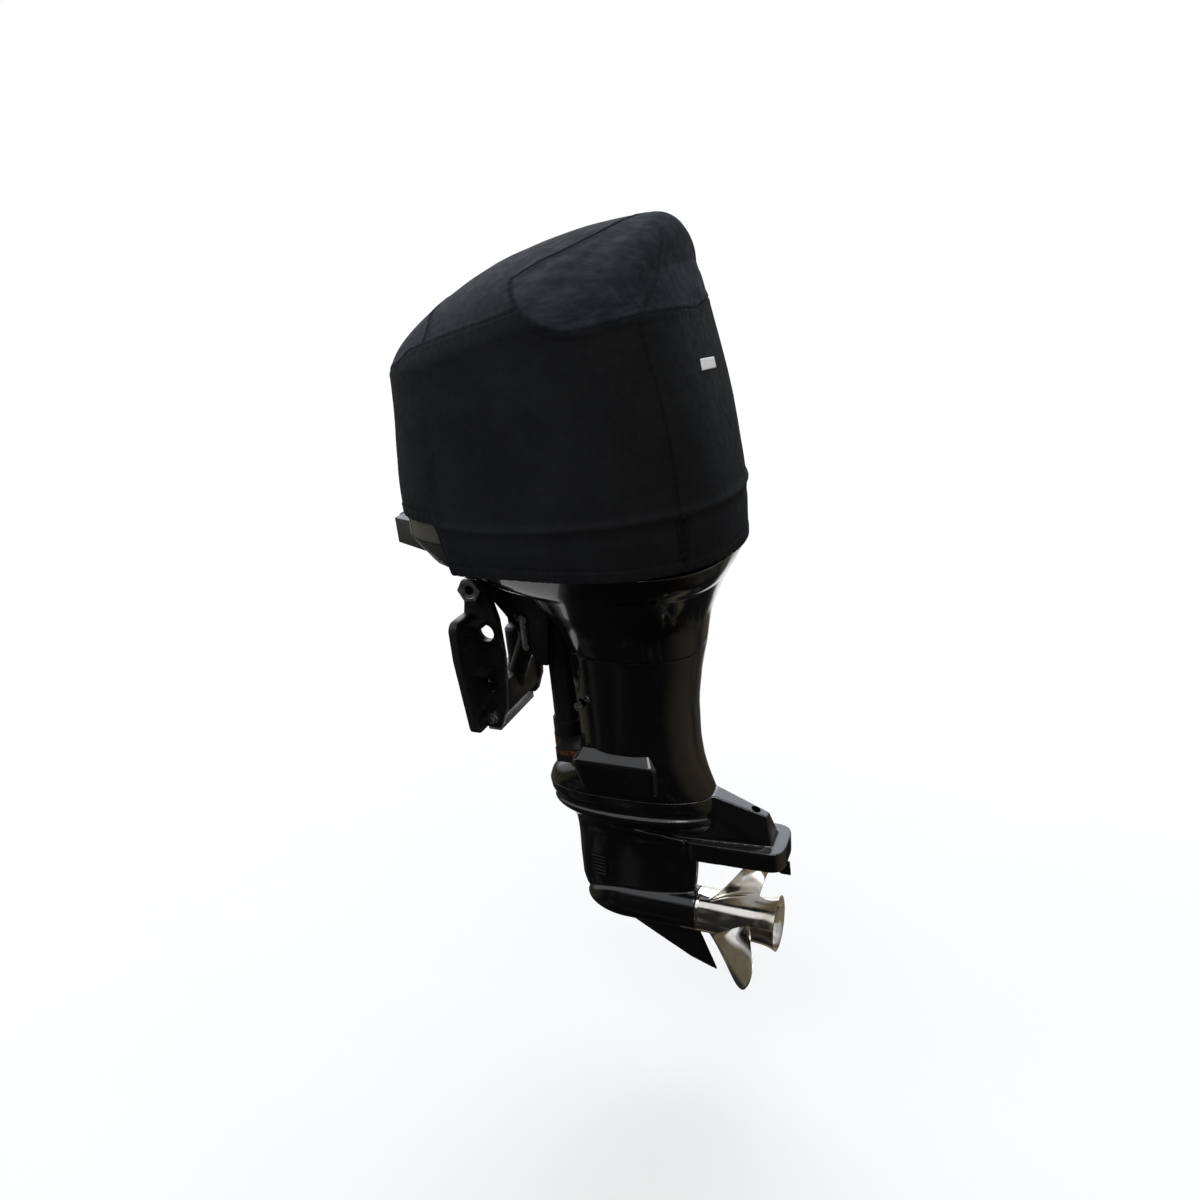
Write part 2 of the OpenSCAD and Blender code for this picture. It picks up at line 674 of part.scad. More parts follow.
module cylinder_head(side) {
    leg_frame() translate([0, 0, deck_z]) bank_frame(side) {
        translate([bank_len, -68, head_low]) cube([head_len - head_cover_t, 136, block_h - head_low - 6]);
        translate([bank_len + head_len - head_cover_t, -58, head_low + 10])
            cube([head_cover_t, 116, block_h - head_low - 26]);
    }
}
module cylinder_head_port() {
    color("#8b8f94") cylinder_head(-1);
}
module cylinder_head_starboard() {
    color("#8b8f94") cylinder_head(1);
}
module intake_plenum() {
    color("#2a2b2e") leg_frame() translate([intake_x, -110, deck_z + 60]) difference() {
        cube([110, 220, 300]);
        translate([12, 12, 12]) cube([86, 196, 276]);
        translate([-1, 60, 90]) cube([14, 100, 120]);
    }
}
module starter_motor() {
    color("#3c3e41") leg_frame() translate([starter_x, starter_y, deck_z + 180]) {
        cylinder(d = 74, h = 150);
        translate([0, 0, 150]) cylinder(d = 46, h = 34);
    }
}
module oil_filter() {
    color("#1f2022") leg_frame() translate([filter_x, -filter_y, deck_z + 90])
        rotate([90, 0, 0]) cylinder(d = 68, h = 88);
}
module control_box() {
    color("#26272a") leg_frame() translate([intake_x + 8, -110 - 46, deck_z + 120]) cube([94, 46, 190]);
}
pan_x = -138;
pan_r = 64;
module pan_plan(inset) {
    hull() for (x = [-48, 48]) translate([x, 0]) circle(pan_r - inset);
}
module oil_pan() {
    color("#53565a") leg_frame() translate([pan_x, 0, seam_z + 6]) difference() {
        linear_extrude(plate_z - seam_z - 6) pan_plan(0);
        translate([0, 0, 6]) linear_extrude(400) pan_plan(6);
    }
}
module exhaust_pipe() {
    color("#5b5045") leg_frame() translate([pipe_x, 0, joint_z])
        tube(pipe_d, pipe_d - 10, seam_z + 6 - joint_z);
}
module water_tube() {
    color("#a9794d") leg_frame() translate([tube_x, tube_y, joint_z + floor_t])
        tube(tube_d, 12, plate_z - joint_z - floor_t);
}
shift_x = 62;
module shift_rod() {
    color("#8a8d90") leg_frame() translate([shift_x, 0, -prop_drop + 72])
        cylinder(d = 10, h = prop_drop + 110);
}

// Gearcase
torpedo_r = 56;
cavity_r = 46;
gear_cavity_r = gear_r + gear_module + 3;
nose_fwd = 82;
bullet_len = 118;
torpedo_aft = 226;
carrier_len = 100;
pump_z = joint_z + 8;
strut_back = -236;
GEARCASE_SECTIONS = [
    [-prop_drop + 20, 84, -214, 30, 2, 0.62],
    [-prop_drop + 60, 92, -222, 31, 2, 0.62],
    [-100, 92, -230, 33, 2, 0.62],
    [-30, 90, strut_back, 38, 2, 0.62],
    [12, 92, -250, 46, 2, 0.6],
    [40, 104, -300, 60, 2.1, 0.6],
    [62, 118, -306, 84, 2.2, 0.55],
    [80, 136, -306, 94, 2.3, 0.55],
    [88, 140, -304, 95, 2.3, 0.55],
    [96, 140, -300, 86, 2.3, 0.55],
    [116, 146, -296, 90, 2.4, 0.55],
    [joint_z, 146, -284, 92, 2.6, 0.55]];

module along_shaft(x = 0) {
    translate([x, 0, -prop_drop]) rotate([0, -90, 0]) children();
}
module torpedo() {
    along_shaft(nose_fwd) rotate_extrude($fn = 64) polygon([
        [0, 0], for (a = [10:10:90]) [torpedo_r * sin(a), bullet_len * (1 - cos(a))],
        [torpedo_r, nose_fwd + torpedo_aft - 40], [hub_d / 2, nose_fwd + torpedo_aft],
        [0, nose_fwd + torpedo_aft]]);
}
skeg_low = -prop_drop - 191;
module skeg() {
    hull() {
        translate([-10, 0, -prop_drop - 48]) cylinder(d = 14, h = 4, $fn = 24);
        translate([-212, 0, -prop_drop - 48]) cylinder(d = 6, h = 4, $fn = 24);
        translate([-196, 0, skeg_low + 28]) cylinder(d = 7, h = 4, $fn = 24);
        translate([-264, 0, skeg_low]) cylinder(d = 4, h = 4, $fn = 24);
    }
}
wedge_top_x = -286;
plate_top = 31;
plate_t = 6;
plate_front = -150;
plate_back = -460;
plate_half_w = 70;
plate_drop = 53;
wedge_back = -438;
module tail_wedge() {
    hull() mirrored_pair() {
        translate([-190, 50, plate_top - 4]) cylinder(d = 12, h = 4, $fn = 16);
        translate([wedge_back, 42, plate_top - 4]) cylinder(d = 10, h = 4, $fn = 16);
        translate([-200, 44, joint_z - 4]) cylinder(d = 8, h = 4, $fn = 16);
        translate([wedge_top_x, 20, joint_z - 4]) cylinder(d = 8, h = 4, $fn = 16);
        translate([wedge_back + 28, 8, plate_top + 62]) cylinder(d = 8, h = 4, $fn = 16);
    }
}
module plate_outline(inset = 0) {
    offset(-inset) offset(26) offset(-26)
        polygon([[plate_front, -plate_half_w + 44], [plate_front - 90, -plate_half_w],
            [plate_back, -plate_half_w + 6], [plate_back, plate_half_w - 6],
            [plate_front - 90, plate_half_w], [plate_front, plate_half_w - 44]]);
}
// Anti-ventilation plate with its edges turned down
module ventilation_plate() {
    low = plate_top - plate_drop;
    hollow_h = plate_drop - plate_t + 1;
    difference() {
        translate([0, 0, low]) linear_extrude(plate_drop) plate_outline();
        translate([0, 0, low - 1]) linear_extrude(hollow_h) plate_outline(7);
        translate([plate_front - 40, -plate_half_w, low - 1]) cube([80, 2 * plate_half_w, hollow_h]);
    }
}
module gearcase() {
    color("#0c0c0e") leg_frame() difference() {
        union() {
            loft([for (s = GEARCASE_SECTIONS) outline(s[0], s[1], s[2], s[3], s[4], s[5])]);
            torpedo();
            skeg();
            tail_wedge();
            ventilation_plate();
        }
        along_shaft(gear_r * 0.5 + 26) cylinder(d = prop_shaft_d + 4, h = 60);
        along_shaft(pinion_r + 20) cylinder(r = gear_r, h = 40);
        along_shaft(pinion_r + 5) cylinder(r = gear_cavity_r, h = 260);
        along_shaft(-torpedo_aft + carrier_len) cylinder(r = cavity_r, h = carrier_len + 10);
        translate([0, 0, -prop_drop]) cylinder(d = drive_shaft_d + 8, h = prop_drop + joint_z + 10);
        translate([0, 0, -prop_drop]) cylinder(r = pinion_r + gear_module + 4, h = gear_r + 16);
        translate([0, 0, pump_z - 40]) cylinder(d = pump_d, h = 60);
        translate([shift_x, 0, -prop_drop + 70]) cylinder(d = 12, h = 400);
        translate([pipe_x, 0, -40]) cylinder(d = 56, h = 300);
        stud_places() translate([0, 0, joint_z - 36]) cylinder(d = stud_d, h = 60);
        translate([tab_x, 0, 0]) cylinder(d = tab_bolt_d, h = 120);
        translate([tab_x, 0, tab_seat]) cylinder(d = 22, h = 60);
        mirrored_pair() inlet_place() cube([inlet_l, 16, inlet_h], center = true);
    }
}
inlet_l = 40;
inlet_h = 58;
module inlet_place() {
    translate([30, 34, -116]) rotate([0, 0, -8]) children();
}
tab_bolt_d = 10;
tab_seat = plate_top + 16;
tab_x = -384;
tab_low = plate_top - plate_t - face_gap;
module trim_tab_bolt() {
    color("#b9bcc0") leg_frame() translate([tab_x, 0, 0]) {
        translate([0, 0, tab_low - 20])
            cylinder(d = tab_bolt_d - 2 * run_clear, h = tab_seat - tab_low + 22);
        translate([0, 0, tab_seat]) hex_prism(17, 8);
    }
}
module trim_tab() {
    color("#7d8084") leg_frame() translate([tab_x, 0, tab_low - 40]) difference() {
        union() {
            translate([0, 0, 30]) cylinder(d = 44, h = 10);
            linear_extrude(34) hull() {
                circle(8);
                translate([-56, 0]) circle(2.5);
            }
            across(-3) linear_extrude(6) scale([1, -1])
                polygon([[-14, 4], [-58, 4], [-62, -12], [-78, -14], [-80, -50], [-56, -50], [-18, -8]]);
        }
        translate([0, 0, 18]) cylinder(d = tab_bolt_d, h = 40);
    }
}
module bearing_carrier() {
    color("#9b9ea2") leg_frame() along_shaft(-torpedo_aft + carrier_len) difference() {
        cylinder(r = cavity_r, h = carrier_len);
        translate([0, 0, -1]) cylinder(d = prop_shaft_d + 2 * run_clear, h = carrier_len + 2);
    }
}
module water_inlet_screens() {
    color("#3a3b3e") leg_frame() mirrored_pair() inlet_place() difference() {
        translate([0, -4.5, 0]) cube([inlet_l, 7, inlet_h], center = true);
        for (k = [-2:2]) translate([0, 0, 11 * k]) cube([inlet_l - 8, 10, 6], center = true);
    }
}
module water_pump_housing() {
    color("#707478") leg_frame() translate([0, 0, pump_z - 40]) difference() {
        cylinder(d = pump_d, h = 40);
        translate([0, 0, 4]) cylinder(d = 72, h = 30);
        translate([0, 0, -1]) cylinder(d = drive_shaft_d + 2 * run_clear, h = 42);
    }
}

// Driveline
journal_d = 60;
web_d = 130;
web_h = 24;
web_end = 30;
web_pitch = (block_h - 2 * web_end - web_h + 8) / 3;
module flywheel() {
    color("#7a7d81") leg_frame() translate([0, 0, deck_z + block_h + 16]) difference() {
        union() {
            cylinder(d = 290, h = 22);
            cylinder(d = 90, h = 40);
        }
        translate([0, 0, -1]) cylinder(d = 34, h = 60);
    }
}
module crankshaft() {
    color("#8f9296") leg_frame() translate([0, 0, deck_z]) {
        translate([0, 0, 4]) cylinder(d = journal_d, h = block_h + 12);
        translate([0, 0, block_h + 16]) cylinder(d = 34, h = 40);
        for (k = [0:3]) translate([0, 0, web_end + k * web_pitch]) cylinder(d = web_d, h = web_h);
    }
}
module drive_shaft() {
    color("#a2a5a9") leg_frame() {
        low = -prop_drop + gear_r - face_w * gear_r / cone_len;
        translate([0, 0, low + 4]) cylinder(d = drive_shaft_tip_d, h = 60);
        translate([0, 0, -prop_drop + gear_r + 16])
            cylinder(d = drive_shaft_d, h = deck_z + 4 + prop_drop - gear_r - 16);
    }
}
function inv_deg(a) = tan(a) * 180 / PI - a;
// Half of a tooth's width as an angle, at a radius of the equivalent spur gear
function half_tooth(r, rp, teeth_v, slack) =
    let (rb = rp * cos(20), a = acos(min(1, rb / max(r, rb))))
    90 / teeth_v + inv_deg(20) - inv_deg(a) - slack;
// A straight bevel gear on +Z, apex at the origin, outer end away from it
module bevel_gear(teeth, cone, bore, hub_h, slack) {
    rp = cone_len * tan(cone);
    teeth_v = teeth / cos(cone);
    levels = [-1.25, -0.6, 0, 0.3, 0.66];
    h_out = cone_len * cos(cone);
    depth = face_w * cos(cone);
    function tooth_r(k) = h_out * tan(cone + atan(k * gear_module / cone_len));
    function tooth_a(k) = half_tooth(rp + k * gear_module, rp, teeth_v, slack) / cos(cone);
    function tooth_point(k, a) = tooth_r(k) * [cos(a), sin(a)];
    difference() {
        union() {
            intersection() {
                translate([0, 0, h_out]) mirror([0, 0, 1])
                    linear_extrude(depth, scale = 1 - depth / h_out)
                    polygon([for (i = [0:teeth - 1]) each concat(
                        [for (k = levels) tooth_point(k, 360 * i / teeth - tooth_a(k))],
                        [for (j = [len(levels) - 1:-1:0])
                            tooth_point(levels[j], 360 * i / teeth + tooth_a(levels[j]))])]);
                cylinder(r = teeth * gear_module / 2 + 0.9 * gear_module * cos(cone), h = h_out + 1);
            }
            translate([0, 0, h_out - 4]) cylinder(r = tooth_r(-2), h = hub_h + 4);
        }
        translate([0, 0, -1]) cylinder(d = bore, h = 200);
    }
}
pinion_cone = atan(pinion_teeth / gear_teeth);
tooth_slack = 1.2;
module pinion_gear() {
    color("#a9acb0") leg_frame() translate([0, 0, -prop_drop]) rotate([0, 0, 180 / pinion_teeth])
        bevel_gear(pinion_teeth, pinion_cone, drive_shaft_tip_d, 12, tooth_slack);
}
module front_gear() {
    color("#a9acb0") leg_frame() translate([0, 0, -prop_drop]) rotate([0, 90, 0]) rotate([0, 0, 180])
        bevel_gear(gear_teeth, 90 - pinion_cone, prop_shaft_d + 2 * run_clear, 16, tooth_slack);
}
module rear_gear() {
    color("#a9acb0") leg_frame() translate([0, 0, -prop_drop]) rotate([0, -90, 0])
        bevel_gear(gear_teeth, 90 - pinion_cone, prop_shaft_d, 16, tooth_slack);
}
module pump_impeller() {
    color("#1d1d1d") leg_frame() translate([0, 0, pump_z - 35]) difference() {
        union() {
            cylinder(d = 44, h = 28);
            for (k = [0:5]) rotate([0, 0, 60 * k]) translate([0, -3, 0]) cube([34, 6, 28]);
        }
        translate([0, 0, -1]) cylinder(d = drive_shaft_d, h = 40);
    }
}

// Propeller
prop_x = -torpedo_aft - 1;
hub_bore_d = 86;
blade_root_r = hub_d / 2 - 3;
blade_mid_x = prop_x - 88;
blade_phase = 138;
BLADE_R = 9;
BLADE_C = 8;
// Chord, rake and skew along the radius, with s from 0 at the root to 1 at the tip
function blade_chord(s) = (127 - 38 * s + 48 * s * s) * sqrt(max(0.005, 1 - pow(s, 5))) + 8;
function blade_rake(s) = -80 * s;
function blade_skew(s) = 3 * s * s;
function blade_thick(s, c) = mix(11, 3.4, s) * (0.22 + 0.78 * sqrt(max(0, 1 - pow(2 * c - 1, 2))));
function blade_point(s, c, side) =
    let (r = mix(blade_root_r, prop_d / 2, s),
         turn = atan2(prop_pitch, 2 * PI * r),
         along = (c - 0.5) * blade_chord(s),
         t = side * blade_thick(s, c) / 2,
         axial = along * sin(turn) + t * cos(turn) - blade_rake(s),
         around = along * cos(turn) - t * sin(turn),
         a = around / r * 180 / PI + blade_skew(s))
    [r * sin(a), r * cos(a), axial];
module blade() {
    row = 2 * BLADE_C + 2;
    ring = [for (i = [0:BLADE_R]) let (s = i / BLADE_R)
        concat([for (j = [0:BLADE_C]) blade_point(s, j / BLADE_C, 1)],
            [for (j = [BLADE_C:-1:0]) blade_point(s, j / BLADE_C, -1)])];
    points = [for (r = ring) each r];
    last = BLADE_R * row;
    polyhedron(points, [
        for (k = [0:BLADE_R - 1]) each ring_sides(k, row, false),
        for (j = [0:BLADE_C - 1]) each [[j, j + 1, row - 1 - j], [j + 1, row - 2 - j, row - 1 - j]],
        for (j = [0:BLADE_C - 1]) each [[last + j + 1, last + j, last + row - 1 - j],
            [last + j + 1, last + row - 1 - j, last + row - 2 - j]]]);
}
inner_hub_d = 56;
module propeller() {
    color("#d9d6cf") leg_frame() along_shaft(prop_x) {
        rotate_extrude($fn = 64) polygon([[hub_bore_d / 2 - 4, 0], [hub_d / 2, 0], [hub_d / 2, hub_len - 40],
            [hub_d / 2 + 4, hub_len - 14], [hub_d / 2 + 12, hub_len], [hub_d / 2 + 7, hub_len],
            [hub_bore_d / 2 + 4, hub_len - 16], [hub_bore_d / 2, hub_len - 60]]);
        difference() {
            union() {
                cylinder(d = inner_hub_d, h = 110);
                for (k = [0:2]) rotate([0, 0, 120 * k + 60]) translate([inner_hub_d / 2 - 4, -4, 6])
                    cube([(hub_bore_d - inner_hub_d) / 2 + 7, 8, 96]);
            }
            translate([0, 0, -1]) cylinder(d = prop_shaft_d, h = 140);
        }
        for (k = [0:blade_count - 1]) rotate([0, 0, 360 * k / blade_count + blade_phase])
            translate([0, 0, prop_x - blade_mid_x]) blade();
    }
}
shaft_fwd = pinion_r + 22;
module propeller_shaft() {
    color("#b3b6ba") leg_frame() along_shaft(shaft_fwd)
        cylinder(d = prop_shaft_d, h = shaft_fwd - prop_x + 140);
}
module dog_clutch() {
    color("#8e9195") leg_frame() along_shaft(7) tube(prop_shaft_d + 4, prop_shaft_d, 14);
}
module propeller_nut() {
    color("#c9c6bd") leg_frame() along_shaft(prop_x - 110) {
        difference() {
            union() {
                cylinder(d = 46, h = 5);
                translate([0, 0, 5]) hex_prism(40, 20);
            }
            translate([0, 0, -1]) cylinder(d = prop_shaft_d, h = 40);
        }
    }
}

// Cover and cowling: one crowned body, set in by the fabric and its gap for the cowling
cover_front = 368;
cover_back = -376;
function smooth(v) = let (t = min(1, max(0, v))) t * t * (3 - 2 * t);
// Ridge height along the centre line, highest near the back
ridge_x = -240;
function ridge(x) = let (d = x - ridge_x)
    cover_top_z - (d > 0 ? 0.00043 * d * d + 0.03 * d : 0.003 * d * d);
// The crowned top falls from the ridge to the shoulder, least at the front and the back
function crown(x) = 160 - 92 * smooth((-150 - x) / 190) - 40 * smooth((x - 140) / 220);
function shoulder(x) = ridge(x) - crown(x);
// The hem is cut away at the front, round the nose of the lower cowling
notch_h = 108;
notch_x = 170;
notch_l = 60;
function hem_line(x) = hem_z + notch_h * smooth((x - notch_x) / notch_l);
hem_square = 2.2;
function cover_plan(front, back, half_w, square, square_back = 0) =
    outline(0, front, back, half_w, square, 0.46, square_back);
function set_z(ring, height) = [for (p = ring) [p[0], p[1], height(p[0])]];
SIDE_LEVELS = [0, 0.2, 0.4, 0.7, 1];
hem_tuck = 13;
side_lean = 26;
function side_half_w(s) = cover_half_w - hem_tuck * pow(max(0, 1 - s / 0.2), 1.5)
    - side_lean * smooth((s - 0.2) / 0.8);
function aft_square(s) = mix(hem_square, 2.9, smooth(s / 0.7));
function side_back(s) = cover_back + 100 * pow(max(0, s - 0.18) / 0.82, 1.25);
TOP_LEVELS = [0.3, 0.55, 0.78, 0.94];
function cover_rings(inset, widest, square_low = 0) = concat(
    [for (s = SIDE_LEVELS)
        set_z(cover_plan(cover_front - inset - 8 * s, side_back(s) + inset,
            min(side_half_w(s), widest) - inset, mix(3.3, 2.9, s), aft_square(s - square_low)),
            function (x) mix(hem_line(x), shoulder(x) - inset, s))],
    [for (s = TOP_LEVELS) let (along = pow(1 - pow(s, 3), 1 / 3), aside = pow(1 - pow(s, 1.6), 1 / 1.6),
        aft = pow(1 - pow(s, 4), 1 / 4))
        set_z(cover_plan(mix(0, cover_front - 8 - inset, along), mix(-200, side_back(1) + inset, aft),
            (min(side_half_w(1), widest) - inset) * aside, mix(2.9, 2.5, s)),
            function (x) mix(shoulder(x), ridge(x), s) - inset)]);
function cover_apex(inset) = [-130, 0, ridge(-130) - inset];
// The cowling stays inside the hem's opening, so that the cover lifts straight off
cowl_widest = side_half_w(0);
cowl_square_low = 0.5;
// The cowling's outline cut at one height between its two lowest rings
function trim_ring(inset, z) = let (r = cover_rings(inset, cowl_widest, cowl_square_low))
    [for (i = [0:RING_N - 1])
        let (s = min(1, max(0, (z - r[0][i][2]) / (r[1][i][2] - r[0][i][2]))))
        [mix(r[0][i][0], r[1][i][0], s), mix(r[0][i][1], r[1][i][1], s), z]];
function cowl_rings(inset) = let (r = cover_rings(inset, cowl_widest, cowl_square_low))
    concat([trim_ring(inset, cowl_low)], [for (k = [1:len(r) - 1]) r[k]]);
module top_cowl() {
    color("#2b2d31") leg_frame() loft_shell(cowl_rings(cowl_inset), cowl_rings(cowl_inset + cowl_t),
        [cover_apex(cowl_inset), cover_apex(cowl_inset + cowl_t)]);
}
module fabric_cover() {
    color("#17181a") leg_frame() loft_shell(cover_rings(0, cover_half_w), cover_rings(cover_t, cover_half_w),
        [cover_apex(0), cover_apex(cover_t)]);
}

clamp_bracket_port();
clamp_bracket_starboard();
tilt_tube();
tilt_tube_nuts();
bracket_tie_bolt();
tilt_cylinder();
trim_pump_block();
trim_pump_motor();
trim_fluid_reservoir();
bracket_anode();
swivel_bracket();
swivel_bushes();
tilt_ram_rod();
tilt_ram_pin();
tilt_lock_lever();
steering_shaft();
steering_arm();
lower_yoke();
rubber_mounts();
engine_mount_plate();
leg_housing();
upper_apron();
lower_mount_covers();
bottom_cowl();
cowl_seal();
rigging_grommet();
engine_block();
cylinder_head_port();
cylinder_head_starboard();
intake_plenum();
starter_motor();
oil_filter();
control_box();
oil_pan();
exhaust_pipe();
water_tube();
shift_rod();
gearcase();
gearcase_studs();
trim_tab();
trim_tab_bolt();
bearing_carrier();
water_inlet_screens();
water_pump_housing();
flush_plug();
flywheel();
crankshaft();
drive_shaft();
pinion_gear();
pump_impeller();
front_gear();
propeller_shaft();
dog_clutch();
propeller();
propeller_nut();
rear_gear();
top_cowl();
fabric_cover();
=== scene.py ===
import json
import math
import bpy
import bmesh
import numpy as np
from mathutils import Matrix, Vector, noise
from mathutils.bvhtree import BVHTree
from mathutils.kdtree import KDTree


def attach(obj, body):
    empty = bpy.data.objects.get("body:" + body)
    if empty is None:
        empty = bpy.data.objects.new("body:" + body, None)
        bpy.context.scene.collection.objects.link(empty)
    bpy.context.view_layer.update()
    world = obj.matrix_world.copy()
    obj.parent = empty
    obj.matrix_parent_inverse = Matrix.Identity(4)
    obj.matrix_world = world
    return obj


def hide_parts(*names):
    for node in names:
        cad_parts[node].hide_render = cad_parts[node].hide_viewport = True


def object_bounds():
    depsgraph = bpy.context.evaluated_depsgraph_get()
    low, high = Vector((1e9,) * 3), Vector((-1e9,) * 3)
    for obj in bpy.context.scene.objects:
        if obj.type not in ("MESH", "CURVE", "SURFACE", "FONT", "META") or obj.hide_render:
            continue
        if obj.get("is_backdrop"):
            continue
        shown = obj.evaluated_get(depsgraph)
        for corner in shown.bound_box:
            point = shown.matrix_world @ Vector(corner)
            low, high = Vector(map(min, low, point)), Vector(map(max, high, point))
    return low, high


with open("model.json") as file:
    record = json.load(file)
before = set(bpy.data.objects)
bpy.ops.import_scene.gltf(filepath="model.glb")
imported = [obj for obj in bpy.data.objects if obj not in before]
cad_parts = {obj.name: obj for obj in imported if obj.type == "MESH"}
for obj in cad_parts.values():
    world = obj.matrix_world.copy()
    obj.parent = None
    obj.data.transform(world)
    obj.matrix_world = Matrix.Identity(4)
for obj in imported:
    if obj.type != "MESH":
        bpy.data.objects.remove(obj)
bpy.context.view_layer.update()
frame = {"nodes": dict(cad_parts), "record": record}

NODES = frame["nodes"]
SCENE = bpy.context.scene


# Forms are built in millimetres, with the drive shaft's axis at zero, and the part's origin lies here
ORIGIN = np.array([275.0, 0.0, 545.0])
UP, AFT = (0, 0, 1), (-1, 0, 0)
SIDES = (1, -1)
BOX_FACES = [(0, 1, 3, 2), (4, 6, 7, 5), (0, 4, 5, 1), (2, 3, 7, 6), (0, 2, 6, 4), (1, 5, 7, 3)]


def row(p):
    """Points in millimetres from the drive shaft, as metres in the part's frame."""
    return (np.asarray(p, float) - ORIGIN) / 1000.0


def mix(a, b, s):
    return a + (b - a) * s


def smooth(v):
    t = np.clip(v, 0, 1)
    return t * t * (3 - 2 * t)


def bell(d, height, width):
    return height * np.exp(-(d / width) ** 2)


def run_length(points):
    """Length so far along a line of points, or the mean of it for a bundle of lines."""
    steps = np.linalg.norm(np.diff(points, axis=0), axis=-1)
    return np.concatenate([[0], np.cumsum(steps.reshape(len(steps), -1).mean(1))])


# Mesh helpers

def make(name, verts, faces, body, replaces=(), shade=True):
    mesh = bpy.data.meshes.new(name)
    mesh.from_pydata([tuple(v) for v in verts], [], [tuple(f) for f in faces])
    mesh.validate()
    mesh.update()
    obj = bpy.data.objects.new(name, mesh)
    SCENE.collection.objects.link(obj)
    if shade:
        mesh.polygons.foreach_set("use_smooth", [True] * len(mesh.polygons))
    if body:
        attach(obj, body)
    if replaces:
        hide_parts(*replaces)
    return obj


def bake(obj):
    deps = bpy.context.evaluated_depsgraph_get()
    mesh = bpy.data.meshes.new_from_object(obj.evaluated_get(deps))
    old = obj.data
    obj.modifiers.clear()
    obj.data = mesh
    bpy.data.meshes.remove(old)
    return obj


def cut(obj, tools):
    for tool in tools:
        mod = obj.modifiers.new("cut", "BOOLEAN")
        mod.solver = "EXACT"
        mod.operation = "DIFFERENCE"
        mod.object = tool
    bake(obj)
    for tool in tools:
        bpy.data.objects.remove(tool)


def merge(obj, distance=1e-5):
    bm = bmesh.new()
    bm.from_mesh(obj.data)
    bmesh.ops.remove_doubles(bm, verts=bm.verts, dist=distance)
    bmesh.ops.dissolve_degenerate(bm, dist=distance, edges=bm.edges)
    bmesh.ops.recalc_face_normals(bm, faces=bm.faces)
    bm.to_mesh(obj.data)
    bm.free()
    return obj


def shade_by_angle(obj, degrees):
    mesh = obj.data
    mesh.polygons.foreach_set("use_smooth", [True] * len(mesh.polygons))
    mesh.set_sharp_from_angle(angle=math.radians(degrees))


def tool_box(low, high):
    low, high = row(low), row(high)
    v = [(x, y, z) for x in (low[0], high[0]) for y in (low[1], high[1]) for z in (low[2], high[2])]
    return make("tool", v, BOX_FACES, None, shade=False)


def ring_faces(count, n, start=0, flip=False):
    out = []
    for k in range(count - 1):
        for i in range(n):
            j = (i + 1) % n
            a, b = start + k * n + i, start + k * n + j
            out.append((a, a + n, b + n, b) if flip else (a, b, b + n, a + n))
    return out


def caps(count, n):
    return [tuple(range(n - 1, -1, -1)), tuple((count - 1) * n + i for i in range(n))]


def lathe(profile, axis_point, axis, n, cap=True):
    """Rings of (radius, distance along the axis) in millimetres, turned round an axis."""
    axis = np.asarray(axis, float) / np.linalg.norm(axis)
    side = np.cross(axis, [0.3, 0.9, 0.31])
    side /= np.linalg.norm(side)
    up = np.cross(axis, side)
    verts = []
    for r, h in profile:
        for i in range(n):
            a = 2 * math.pi * i / n
            verts.append(np.asarray(axis_point) + axis * h + (side * math.cos(a) + up * math.sin(a)) * r)
    count = len(profile)
    return verts, ring_faces(count, n) + (caps(count, n) if cap else [])


def tool_cylinder(base, axis, r, h):
    verts, faces = lathe([(r, 0), (r, h)], base, axis, 64)
    return make("tool", row(verts), faces, None, shade=False)


def joined(parts):
    verts, faces = [], []
    for v, f in parts:
        base = len(verts)
        verts += list(v)
        faces += [tuple(i + base for i in face) for face in f]
    return verts, faces


# Superellipse outlines, as the solids use

def spow(v, p):
    return np.sign(v) * np.abs(v) ** p


def outline(t, front, back, half, square, middle, square_back=None):
    centre = mix(back, front, middle)
    c, s = np.cos(t), np.sin(t)
    sq = np.where(c < 0, square if square_back is None else square_back, square)
    reach = np.where(c > 0, front - centre, centre - back)
    return centre + reach * spow(c, 2 / sq), half * spow(s, 2 / sq)


def even_angles(n, front, back, half, square, middle):
    dense = np.linspace(0, 2 * math.pi, 8001)
    x, y = outline(dense, front, back, half, square, middle)
    run = np.concatenate([[0], np.cumsum(np.hypot(np.diff(x), np.diff(y)))])
    return np.interp(np.linspace(0, run[-1], n + 1)[:-1], run, dense)


def cubic(at, i, knots, values, slopes):
    """The curve between knots i and i + 1."""
    h = knots[i + 1] - knots[i]
    t = (at - knots[i]) / h
    return ((1 + 2 * t) * (1 - t) ** 2 * values[i] + t * (1 - t) ** 2 * h * slopes[i]
            + t * t * (3 - 2 * t) * values[i + 1] + t * t * (t - 1) * h * slopes[i + 1])


def hermite(z, zs, vs):
    """Monotone cubic through the sections, so no section is overshot."""
    zs, vs = np.asarray(zs, float), np.asarray(vs, float)
    h = np.diff(zs)
    d = np.diff(vs) / h
    m = np.zeros(len(zs))
    m[0], m[-1] = d[0], d[-1]
    for i in range(1, len(zs) - 1):
        if d[i - 1] * d[i] > 0:
            w1, w2 = 2 * h[i] + h[i - 1], h[i] + 2 * h[i - 1]
            m[i] = (w1 + w2) / (w1 / d[i - 1] + w2 / d[i])
    i = np.clip(np.searchsorted(zs, z) - 1, 0, len(zs) - 2)
    return cubic(z, i, zs, vs, m)


